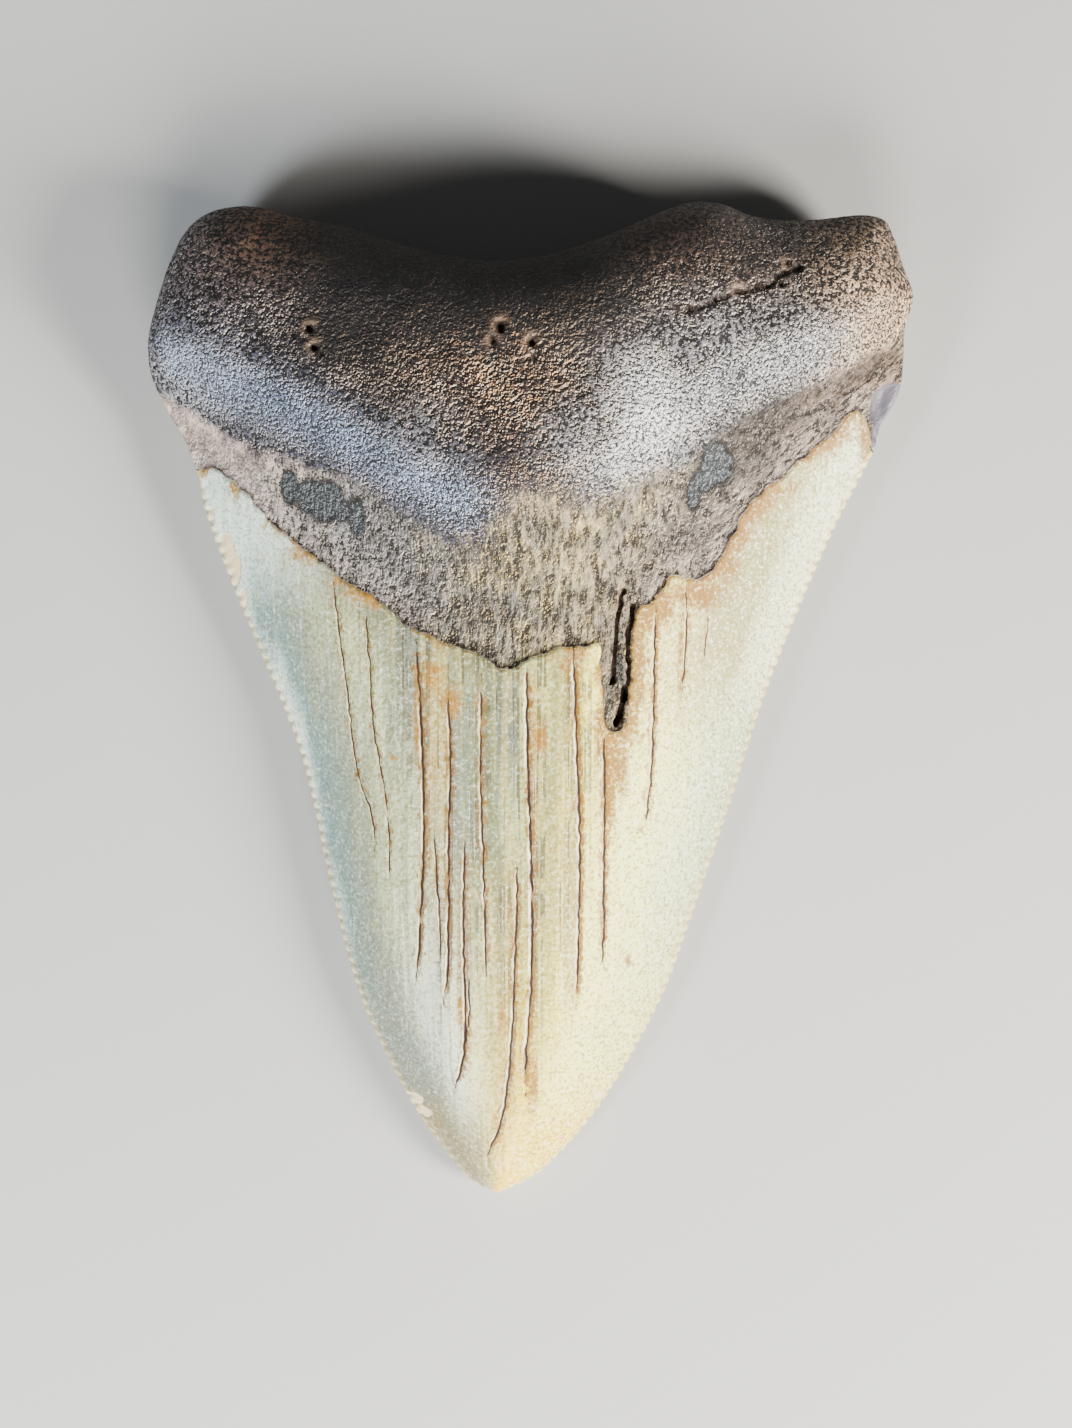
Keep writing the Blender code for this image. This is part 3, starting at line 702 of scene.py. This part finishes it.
def enamel_finish(place):
    """Satin enamel: blue-green left margin, streaked olive middle, warm cream right side and tip."""
    along_tooth = axis(place, 1)
    side = mark("across")
    wander = linear(grain(place, 1.0, (0.35, 0.05, 0.05), 2.0), 0.24, -0.12)
    across_streaked = linear(calc("ADD", side, wander), 0.5, 0.5)
    # The first stop's pale blue-green is partly a painted highlight along the left edge.
    upper = ramp(across_streaked, [
        (0.0, 0.76, 0.9, 0.78), (0.05, 0.18, 0.305, 0.29), (0.11, 0.29, 0.325, 0.225),
        (0.21, 0.62, 0.65, 0.3), (0.36, 0.335, 0.38, 0.21), (0.54, 0.54, 0.56, 0.19),
        (0.64, 1.0, 0.84, 0.13), (0.78, 0.98, 0.97, 0.25), (0.9, 0.63, 0.72, 0.37),
        (1.0, 0.4, 0.48, 0.28),
    ])
    # The pale stop at 0.27 is a painted highlight on the lower left of the blade.
    lower = ramp(across_streaked, [
        (0.0, 0.2, 0.22, 0.17), (0.15, 0.225, 0.26, 0.205), (0.27, 0.8, 0.83, 0.62),
        (0.38, 0.98, 0.9, 0.4), (0.5, 0.62, 0.42, 0.01), (0.58, 0.98, 0.74, 0.04),
        (0.7, 1.0, 0.94, 0.18), (1.0, 0.74, 0.72, 0.22),
    ])
    colour = blend(rise(along_tooth, -12.0, -36.0), upper, lower)
    at_tip = blend(rise(side, -0.35, 0.1), rgb(0.26, 0.2, 0.06), rgb(0.92, 0.6, 0.0))
    colour = paint(colour, at_tip, rise(along_tooth, -34.0, -43.0), 0.8)
    shaded = times(rise(along_tooth, -6.0, 6.0), rise(side, 0.5, 0.7), rise(side, 0.95, 0.8))
    colour = paint(colour, rgb(0.37, 0.33, 0.095), shaded, 0.92)
    # Painted shade: darker olive on the enamel within a few millimetres of its edge by the root, left of
    # the middle.
    shade_by_brim = times(rise(mark("bare"), -4.0, -0.4), rise(side, 0.1, -0.2))
    colour = paint(colour, rgb(0.2, 0.17, 0.08), shade_by_brim, 0.7)
    # Painted highlight: pale blue-green along the top of the left margin, and a pale cream at the top of
    # the right one.
    margin_highlight = times(rise(along_tooth, 8.0, 17.0), rise(side, -0.5, -0.78))
    margin_highlight = larger(margin_highlight, times(rise(along_tooth, -2.0, 5.0), rise(side, 0.8, 0.92)))
    highlight_tint = blend(rise(side, -0.2, 0.2), rgb(0.86, 1.0, 0.86), rgb(0.8, 0.84, 0.5))
    colour = paint(colour, highlight_tint, margin_highlight, 0.85)
    ragged_strip = rise(grain(place, 1.0, (1.3, 0.05, 0.05), 2.0), 0.24, 0.5)
    colour = paint(colour, rgb(0.56, 0.38, 0.1), mark("tan"), ragged_strip)
    colour = paint(colour, rgb(0.15, 0.17, 0.14), mark("grey"), ragged_strip)
    middle = times(rise(apart(side, -0.1), 0.6, 0.27), rise(along_tooth, -42.0, -16.0))
    broad = rise(grain(place, 1.0, (0.75, 0.03, 0.03), 2.0), 0.47, 0.6)
    colour = paint(colour, rgb(0.13, 0.15, 0.08), broad, middle, 0.6)
    pale = rise(grain(place, 1.3, (0.9, 0.03, 0.03), 2.0), 0.52, 0.64)
    colour = paint(colour, rgb(0.62, 0.54, 0.17), pale, middle, 0.5)
    thread = rise(grain(place, 1.0, (2.4, 0.04, 0.04), 1.0), 0.56, 0.64)
    thread = times(thread, middle, rise(grain(place, 0.35, detail=2.0), 0.36, 0.54))
    colour = paint(colour, rgb(0.11, 0.1, 0.045), thread, 0.85)
    mottle = grain(place, 0.55, (1.0, 0.55, 1.0), 4.0, 0.6)
    colour = paint(colour, rgb(0.74, 0.68, 0.28), rise(mottle, 0.55, 0.75), 0.3)
    stipple = grain(place, 2.9, detail=3.0, roughness=0.7)
    sunny = rise(side, 0.1, 0.5)
    specks = grain(place, 2.4, (1.0, 0.55, 1.0), 4.0, 0.75)
    stained = linear(specks, 2.4, -1.2)
    stain = times(mark("stain"), 0.9)
    brim_place = grain(place, 0.3, detail=2.0)
    brim_reach = times(between(rise(brim_place, 0.35, 0.6), -0.5, -2.2), between(sunny, 1.0, 1.5))
    brim = rise(brim_place, between(sunny, 0.42, 0.22), between(sunny, 0.6, 0.42))
    brim = times(brim, rise(mark("bare"), brim_reach, 0.1))
    brim = times(brim, between(rise(apart(side, -0.08), 0.12, 0.34), 0.25, 0.85))
    rust = rise(linear(stained, 0.7, larger(stain, brim)), 0.1, 0.72)
    rust = times(rust, between(rise(stipple, 0.4, 0.62), 1.0, 0.72))
    rusty = blend(rise(side, -0.1, 0.35), rgb(0.44, 0.185, 0.0), rgb(0.31, 0.11, 0.0))
    colour = paint(colour, rusty, rust)
    # Painted glints: tiny near-white dots, stronger on the right side and fewer where there is rust.
    glint_dots = times(rise(stipple, 0.54, 0.66), between(sunny, 0.45, 0.95))
    glint_dots = times(glint_dots, linear(rust, -0.75, 1.0))
    colour = paint(colour, rgb(1.0, 0.97, 0.76), glint_dots)
    dark_dots = times(rise(stipple, 0.485, 0.39), between(sunny, 0.5, 0.8))
    colour = paint(colour, blend(sunny, rgb(0.18, 0.15, 0.05), rgb(0.3, 0.24, 0.09)), dark_dots)
    glint = rise(specks, 0.68, 0.73)
    colour = paint(colour, rgb(1.0, 1.0, 0.94), glint, 0.9)
    beside = rise(linear(mark("halo"), 0.8, stained), 0.28, 0.6)
    brown = blend(rise(side, -0.1, 0.35), rgb(0.26, 0.12, 0.01), rgb(0.32, 0.13, 0.0))
    colour = paint(colour, brown, beside, 0.9, rise(mark("halo"), 0.04, 0.3))
    # Painted highlight: a broken cream line along the lit side of each crack.
    crack_highlight = rise(linear(stained, 0.4, mark("crack_highlight")), 0.25, 0.5)
    crack_highlight = times(crack_highlight, rise(grain(place, 0.8, (1.0, 0.35, 1.0), 2.0), 0.36, 0.56))
    colour = paint(colour, rgb(0.98, 0.88, 0.5), crack_highlight, 0.9)
    cutting = times(rise(mark("rim_distance"), 0.55, 0.05), rise(along_tooth, 27.0, 24.0))
    colour = paint(colour, rgb(0.8, 0.64, 0.26), cutting, 0.8)
    chip = rise(linear(grain(place, 1.1, detail=3.0), 0.5, mark("chip")), 0.62, 0.75)
    colour = paint(colour, rgb(0.9, 0.72, 0.42), chip)
    breadth = linear(grain(place, 0.7, (1.0, 0.6, 1.0), 2.0), 4.0, -0.95)
    crack = rise(linear(stained, 0.35, times(mark("split"), breadth)), 0.2, 0.45)
    crack_fill = blend(rise(specks, 0.45, 0.7), rgb(0.02, 0.011, 0.006), rgb(0.1, 0.035, 0.006))
    colour = paint(colour, crack_fill, crack)
    relief = linear(thread, -0.04, times(stipple, between(sunny, 0.05, 0.12)))
    relief = linear(grain(place, 1.1, (1.0, 0.6, 1.0), 2.0), 0.15, relief)
    relief = linear(broad, -0.05, linear(mottle, 0.07, relief))
    relief = linear(chip, -0.12, linear(rust, 0.03, relief))
    weathered = times(larger(crack, rust), 0.85)
    return colour, larger(between(stipple, 0.18, 0.38), weathered), relief


def grit(place, scale, stretch):
    """The height of packed grains, and how much each spot of them tips towards the tooth's point."""
    height = grain(place, scale, stretch, 2.6, 0.8)
    step_on = add("ShaderNodeVectorMath", 0, {"operation": "ADD"}, in0=place, in1=(0.05, -0.07, 0.0))
    ahead = grain(step_on, scale, stretch, 2.6, 0.8)
    return height, calc("SUBTRACT", height, ahead)


def band_finish(place):
    """The bare band where thin dentine shows: matt grains and fibres, pinkish grey, olive, then brown."""
    across_tooth = axis(place, 0)
    wander = linear(grain(place, 0.3, detail=3.0), 12.0, calc("SUBTRACT", across_tooth, 6.0))
    side = add("ShaderNodeMapRange", 0, in0=wander, in1=-34.0, in2=34.0)
    colour = ramp(side, [
        (0.0, 0.78, 0.62, 0.52), (0.14, 0.58, 0.48, 0.41), (0.24, 0.285, 0.275, 0.265),
        (0.36, 0.1, 0.095, 0.09), (0.46, 0.1, 0.084, 0.05), (0.57, 0.34, 0.275, 0.14),
        (0.68, 0.18, 0.14, 0.095), (0.82, 0.034, 0.024, 0.018), (1.0, 0.3, 0.2, 0.12),
    ])
    pink = times(rise(mark("above_band"), -4.5, -0.5), rise(across_tooth, -13.0, -22.0))
    colour = paint(colour, rgb(0.86, 0.66, 0.55), pink, 0.75)
    turned = add("ShaderNodeVectorRotate", 0, {"rotation_type": "Z_AXIS"}, Vector=place, Angle=-0.66)
    slanting = rise(across_tooth, 9.0, 20.0)
    upright_fibre = grain(place, 1.0, (1.6, 0.42, 0.7), 3.5, 0.72)
    slanting_fibre = grain(turned, 1.0, (0.6, 2.0, 0.8), 3.5, 0.75)
    fibre = between(slanting, upright_fibre, slanting_fibre)
    grains, facing = grit(place, 1.9, (1.2, 0.8, 1.0))
    centre = rise(apart(wander, 1.5), 15.0, 5.0)
    rough = between(linear(larger(centre, slanting), 0.5, 0.3), grains, fibre)
    margin = rise(across_tooth, -22.0, -29.0)
    off_centre = rise(calc("ABSOLUTE", across_tooth), 7.0, 12.0)
    by_enamel = times(rise(mark("bare"), 3.6, 0.6), off_centre)
    colour = paint(colour, rgb(0.62, 0.49, 0.4), by_enamel, 0.5)
    blotch = rise(grain(place, 0.42, (1.0, 0.7, 1.0), 3.0), 0.44, 0.6)
    colour = paint(colour, rgb(0.05, 0.042, 0.035), blotch, 0.55)
    # Painted shade in the hollows between the grains and fibres, weaker towards the left margin.
    colour = paint(colour, rgb(0.014, 0.01, 0.007), rise(rough, 0.57, 0.42), between(margin, 0.97, 0.45))
    golden = rise(grain(place, 0.5, (1.3, 0.6, 1.0), 2.0), 0.4, 0.6)
    pale = blend(centre, rgb(0.76, 0.65, 0.56), blend(golden, rgb(0.5, 0.42, 0.32), rgb(0.98, 0.7, 0.26)))
    # Pale grains where they tip towards the lights, a painted highlight, and pale fibres in the middle,
    # which are their own colour.
    light = larger(rise(facing, 0.02, 0.12), times(rise(fibre, 0.54, 0.74), centre))
    light = times(light, linear(rise(across_tooth, 14.0, 20.0), linear(by_enamel, 0.5, -0.5), 1.0))
    colour = paint(colour, pale, light, linear(blotch, -0.35, 0.8))
    patchy = calc("ADD", mark("patch"), linear(rough, 1.4, -0.7))
    patch = rise(patchy, 0.4, 0.46)
    colour = paint(colour, rgb(0.01, 0.008, 0.007), rise(patchy, 0.24, 0.34))
    # The dark patches are their own colour; their facets that tip towards the lights are painted lighter, a
    # painted highlight.
    slate = blend(rise(facing, 0.0, 0.08), rgb(0.02, 0.023, 0.024), rgb(0.17, 0.18, 0.19))
    colour = paint(colour, slate, patch, 0.96)
    smooth = rise(mark("shoulder"), 0.35, 0.6)
    colour = paint(colour, rgb(0.12, 0.105, 0.13), smooth)
    level = times(linear(patch, -0.4, 1.0), linear(smooth, -0.85, 1.0))
    relief = times(rough, 0.95, level)
    matt = between(patch, between(rise(rough, 0.44, 0.6), 0.95, 0.22), 0.9)
    return colour, between(smooth, matt, 0.45), relief


def root_finish(place):
    """The granular root: brown-black, with a painted blue-grey sheen along its ridge and golden grains in
    its middle.
    """
    across_tooth = axis(place, 0)
    along_tooth = axis(place, 1)
    side = add("ShaderNodeMapRange", 0, in0=across_tooth, in1=-37.0, in2=37.0)
    # Lighter towards the right end: partly the root's own golden colour, partly painted light from the
    # right-hand window.
    base = ramp(side, [
        (0.0, 0.135, 0.105, 0.125), (0.35, 0.02, 0.01, 0.007), (0.55, 0.034, 0.017, 0.011),
        (0.72, 0.04, 0.025, 0.02), (0.83, 0.15, 0.105, 0.085), (0.92, 0.98, 0.62, 0.36),
    ])
    # The fleck colours serve both the root's golden and white grains and painted glints on them.
    fleck_and_glint_colour = ramp(side, [
        (0.0, 0.84, 0.82, 0.86), (0.3, 0.8, 0.53, 0.37), (0.5, 0.98, 0.54, 0.23),
        (0.7, 0.8, 0.64, 0.52), (0.83, 0.92, 0.78, 0.7), (0.92, 1.0, 0.84, 0.62),
    ])
    coarse, coarse_facing = grit(place, 2.1, (1.05, 1.0, 1.0))
    fine, fine_facing = grit(place, 3.3, (1.0, 1.0, 1.0))
    warm, ridge, sheen_spot = mark("warm"), mark("ridge"), mark("sheen_spot")
    worn_down = rise(larger(ridge, sheen_spot), 0.15, 0.55)
    grains = between(worn_down, coarse, fine)
    fine_facing = linear(fine_facing, 1.15, between(rise(across_tooth, -4.0, 8.0), 0.001, 0.008))
    facing = between(worn_down, coarse_facing, fine_facing)
    colour = paint(base, rgb(0.045, 0.019, 0.01), warm, 0.8)
    top = rise(along_tooth, 35.0, 43.0)
    left_top = times(top, rise(across_tooth, 27.0, 8.0), rise(across_tooth, -37.0, -22.0))
    colour = paint(colour, rgb(0.29, 0.145, 0.072), left_top, 0.85)
    # Painted sheen: blue-grey along the root's ridge, warmer to the right, and fainter in its middle.
    sheen = times(ridge, linear(rise(apart(across_tooth, 0.8), 7.5, 2.0), -0.85, 1.0))
    sheen = times(sheen, rise(across_tooth, 33.0, 25.0))
    to_right = rise(across_tooth, -4.0, 10.0)
    colour = paint(colour, blend(to_right, rgb(0.15, 0.2, 0.31), rgb(0.24, 0.25, 0.28)), sheen, 0.8)
    # Painted shade: the root's top middle and the top right of it turned near-black, where they face away
    # from the lights; fewer flecks there too.
    top_shade = times(rise(across_tooth, -25.0, -17.0), rise(across_tooth, 15.0, 5.0))
    top_shade = times(top_shade, rise(linear(grain(place, 0.25, detail=3.0), 10.0, along_tooth), 31.0, 40.0))
    far_top = times(rise(across_tooth, 0.0, 12.0), rise(along_tooth, 36.0, 42.0))
    top_shade = larger(top_shade, times(far_top, 0.7))
    # Painted highlight: near-white on the brightest spots of the ridge's sheen.
    colour = paint(colour, rgb(0.86, 0.87, 0.92), sheen_spot, 0.8)
    fleck_and_glint_colour = blend(rise(grain(place, 1.4, detail=1.0), 0.42, 0.62), fleck_and_glint_colour, rgb(0.98, 0.76, 0.5))
    fleck_and_glint_colour = blend(larger(sheen, sheen_spot), fleck_and_glint_colour, blend(to_right, rgb(0.64, 0.78, 1.0), rgb(1.0, 0.97, 0.92)))
    scarce = linear(grain(place, 0.35, detail=3.0), 0.16, linear(left_top, 0.08, -0.012))
    scarce = linear(sheen_spot, -0.03, linear(warm, -0.03, scarce))
    # Flecks where grains tip towards the lights: partly the grains' own pale colour, partly painted glints.
    flecks_and_glints = times(rise(calc("SUBTRACT", facing, scarce), 0.018, 0.05), 0.97)
    flecks_and_glints = times(flecks_and_glints, linear(larger(left_top, top_shade), -0.85, 1.0))
    colour = paint(colour, rgb(0.006, 0.003, 0.003), top_shade, 0.9)
    # Painted shade in the hollows between the grains.
    colour = paint(colour, rgb(0.005, 0.003, 0.003), rise(grains, 0.56, 0.47), 0.98)
    colour = paint(colour, fleck_and_glint_colour, flecks_and_glints)
    colour = paint(colour, rgb(0.52, 0.32, 0.2), mark("lip"), 0.5)
    peel = grain(place, 3.2, detail=2.0)
    relief = linear(peel, 0.12, times(grains, between(larger(times(sheen, 0.8), sheen_spot), 0.6, 0.32)))
    grain_top = rise(grains, 0.42, 0.6)
    gloss = between(larger(ridge, sheen_spot), between(grain_top, 1.0, 0.2), between(grain_top, 0.55, 0.2))
    return colour, between(larger(left_top, top_shade), gloss, 0.8), relief


fossil = bpy.data.materials.new("fossil tooth")
fossil.use_nodes = True
tree = fossil.node_tree
surface = tree.nodes["Principled BSDF"]
object_place = add("ShaderNodeTexCoord", 3)
place = add("ShaderNodeVectorMath", 0, {"operation": "SCALE"}, in0=object_place, in3=1.0 / MM)
enamel_colour, enamel_roughness, enamel_relief = enamel_finish(place)
band_colour, band_roughness, band_relief = band_finish(place)
root_colour, root_roughness, root_relief = root_finish(place)
is_bare = rise(mark("bare"), -0.06, 0.06)
midway = rise(calc("ABSOLUTE", axis(place, 0)), 14.0, 5.0)
edge_wander = linear(grain(place, 0.7, detail=4.0), between(midway, 2.2, 5.0), mark("above_band"))
is_root = rise(edge_wander, between(midway, 0.5, 0.6), between(midway, 1.7, 4.6))
colour = blend(is_bare, enamel_colour, blend(is_root, band_colour, root_colour))
roughness = between(is_bare, enamel_roughness, between(is_root, band_roughness, root_roughness))
relief = between(is_bare, enamel_relief, between(is_root, band_relief, root_relief))
# Painted shadow: a broken dark line where the enamel steps down onto the band, and painted shade in the
# gaps, grooves and pits.
seam_shadow = times(rise(mark("bare"), -0.04, 0.06), rise(mark("bare"), 0.3, 0.1))
seam_shadow = times(seam_shadow, 0.7, rise(grain(place, 0.45, detail=3.0), 0.47, 0.62))
shadowed = larger(seam_shadow, rise(mark("dark"), 0.1, 0.8))
colour = paint(colour, rgb(0.05, 0.027, 0.016), shadowed)
tree.links.new(colour, surface.inputs["Base Color"])
tree.links.new(roughness, surface.inputs["Roughness"])
bump = add("ShaderNodeBump", 0, Height=relief, Strength=1.0, Distance=MM)
tree.links.new(bump, surface.inputs["Normal"])

# The relief that repeats: the notches and pleats along both cutting edges, grains over the root,
# fibres over the bare band and slow waves in the enamel. All of it is cut inwards, so the tooth
# keeps its size.
tree = bpy.data.node_groups.new("tooth relief", "GeometryNodeTree")
for way in ("INPUT", "OUTPUT"):
    tree.interface.new_socket("Geometry", in_out=way, socket_type="NodeSocketGeometry")
RELIEF_SIZES = {
    "Serration depth": 0.28, "Pleat depth": 0.13, "Pleat reach": 1.3, "Root grain size": 0.85,
    "Root grain depth": 0.1, "Band fibre width": 0.8, "Band fibre depth": 0.2, "Enamel wave depth": 0.07,
}
relief_inputs = {}
for name, size in RELIEF_SIZES.items():
    socket = tree.interface.new_socket(name, in_out="INPUT", socket_type="NodeSocketFloat")
    socket.default_value = size
    relief_inputs[name] = socket.identifier
sizes_in = tree.nodes.new("NodeGroupInput")
size_of = {name: sizes_in.outputs[name] for name in RELIEF_SIZES}


def stored(name):
    """The relief's reading of a value kept at the mesh's points."""
    return add("GeometryNodeInputNamedAttribute", 0, {"data_type": "FLOAT"}, Name=name)


def vector_of(x, y, z):
    return add("ShaderNodeCombineXYZ", 0, in0=x, in1=y, in2=z)


def scaled(vector, share):
    return add("ShaderNodeVectorMath", 0, {"operation": "SCALE"}, in0=vector, in3=share)


at = scaled(add("GeometryNodeInputPosition"), 1.0 / MM)
from_rim = stored("rim_distance")
serration = stored("serration")
nearest_notch = calc("ROUND", serration)
notch = calc("POWER", larger(linear(apart(serration, nearest_notch), -3.6, 1.0), 0.0), 1.3)
uneven = add("ShaderNodeTexNoise", 0, {"noise_dimensions": "1D"}, W=nearest_notch, Scale=0.7, Detail=0.0)
notch = times(notch, linear(uneven, 0.9, 0.5), rise(from_rim, 1.0, 0.0), size_of["Serration depth"])
cut_in = scaled(vector_of(stored("pull_x"), stored("pull_y"), 0.0), notch)
pulled = calc("ADD", calc("ABSOLUTE", stored("pull_x")), calc("ABSOLUTE", stored("pull_y")))
fold = linear(calc("COSINE", times(serration, 2.0 * np.pi)), 0.5, 0.5)
fold = times(fold, rise(from_rim, size_of["Pleat reach"], 0.1), rise(from_rim, 0.0, 0.15))
fold = times(fold, calc("MINIMUM", pulled, 1.0), size_of["Pleat depth"])
grain_lumps = grain(at, calc("DIVIDE", 1.0, size_of["Root grain size"]), (1.0, 1.2, 1.0), 1.0)
fibre_lumps = grain(at, calc("DIVIDE", 1.0, size_of["Band fibre width"]), (1.0, 0.3, 0.6), 1.0)
wave = grain(at, 0.16, (1.4, 0.5, 1.0), 1.0)
on_root = rise(stored("above_band"), -1.0, 2.5)
on_bare = rise(stored("bare"), 0.0, 0.8)
fibre_depth = times(fibre_lumps, size_of["Band fibre depth"])
bare_depth = between(on_root, fibre_depth, times(grain_lumps, size_of["Root grain depth"]))
sunk = between(on_bare, times(wave, size_of["Enamel wave depth"]), bare_depth)
height_above_rest = axis(at, 2)
sunk = times(calc("ADD", sunk, fold), rise(height_above_rest, 0.1, 1.0))
sink = scaled(add("GeometryNodeInputNormal"), times(sunk, -1.0))
moved = scaled(add("ShaderNodeVectorMath", 0, {"operation": "ADD"}, in0=cut_in, in1=sink), MM)
shaped = add("GeometryNodeSetPosition", 0, Geometry=sizes_in.outputs["Geometry"], Offset=moved)
whole = add("GeometryNodeRealizeInstances", 0, Geometry=shaped)
finished = add("GeometryNodeSetMaterial", 0, Geometry=whole, Material=fossil)
tree.links.new(finished, tree.nodes.new("NodeGroupOutput").inputs["Geometry"])


def placed(name, data):
    """A new object in the scene."""
    made = bpy.data.objects.new(name, data)
    bpy.context.collection.objects.link(made)
    return made


carrier = placed("tooth_form", tooth_form)
relief_modifier = carrier.modifiers.new("tooth relief", "NODES")
relief_modifier.node_group = tree
for name, size in RELIEF_SIZES.items():
    relief_modifier[relief_inputs[name]] = size
evaluated = carrier.evaluated_get(bpy.context.evaluated_depsgraph_get())
tooth_mesh = bpy.data.meshes.new_from_object(evaluated)
bpy.data.objects.remove(carrier)
tooth = placed("tooth_surface", tooth_mesh)

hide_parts("tooth")
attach(tooth, "root")

# ----------------------------------------------------------------------------------------
# The table that the tooth lies on, the three soft windows at its tip end, and the camera above it.
# ----------------------------------------------------------------------------------------
FLOOR_HALF = 0.6  # metres
floor_mesh = bpy.data.meshes.new("floor")
corners = [(x * FLOOR_HALF, y * FLOOR_HALF, 0.0) for x, y in ((-1, -1), (1, -1), (1, 1), (-1, 1))]
floor_mesh.from_pydata(corners, [], [(0, 1, 2, 3)])
floor = placed("floor", floor_mesh)
paper = bpy.data.materials.new("pale table")
paper.use_nodes = True
paper_inputs = paper.node_tree.nodes["Principled BSDF"].inputs
paper_inputs["Base Color"].default_value = rgb(0.5, 0.495, 0.48)
paper_inputs["Roughness"].default_value = 0.8
floor.data.materials.append(paper)


def window(name, place, size, power, colour):
    """A soft square light that faces the tooth."""
    lamp = bpy.data.lights.new(name, "AREA")
    lamp.size = size
    lamp.energy = power
    lamp.color = colour
    light = placed(name, lamp)
    light.location = place
    light.rotation_euler = (-Vector(place)).to_track_quat("-Z", "Y").to_euler()


window("right window", (0.35, -0.165, 0.205), 0.13, 6.3, (1.0, 0.97, 0.92))
window("left window", (-0.28, -0.215, 0.225), 0.11, 2.1, (0.84, 0.92, 1.0))
window("low window", (0.04, -0.37, 0.2), 0.2, 3.4, (1.0, 0.97, 0.9))
world = bpy.data.worlds.new("room")
world.use_nodes = True
room_light = world.node_tree.nodes["Background"].inputs
room_light["Color"].default_value = rgb(0.95, 0.97, 1.0)
room_light["Strength"].default_value = 0.06
bpy.context.scene.world = world

view = bpy.data.cameras.new("camera")
view.sensor_width = 36.0
view.lens = 37.82
view.clip_start = 0.005
camera = placed("camera", view)
camera.location = (0.00055, -0.0007, 0.15)
bpy.context.scene.camera = camera
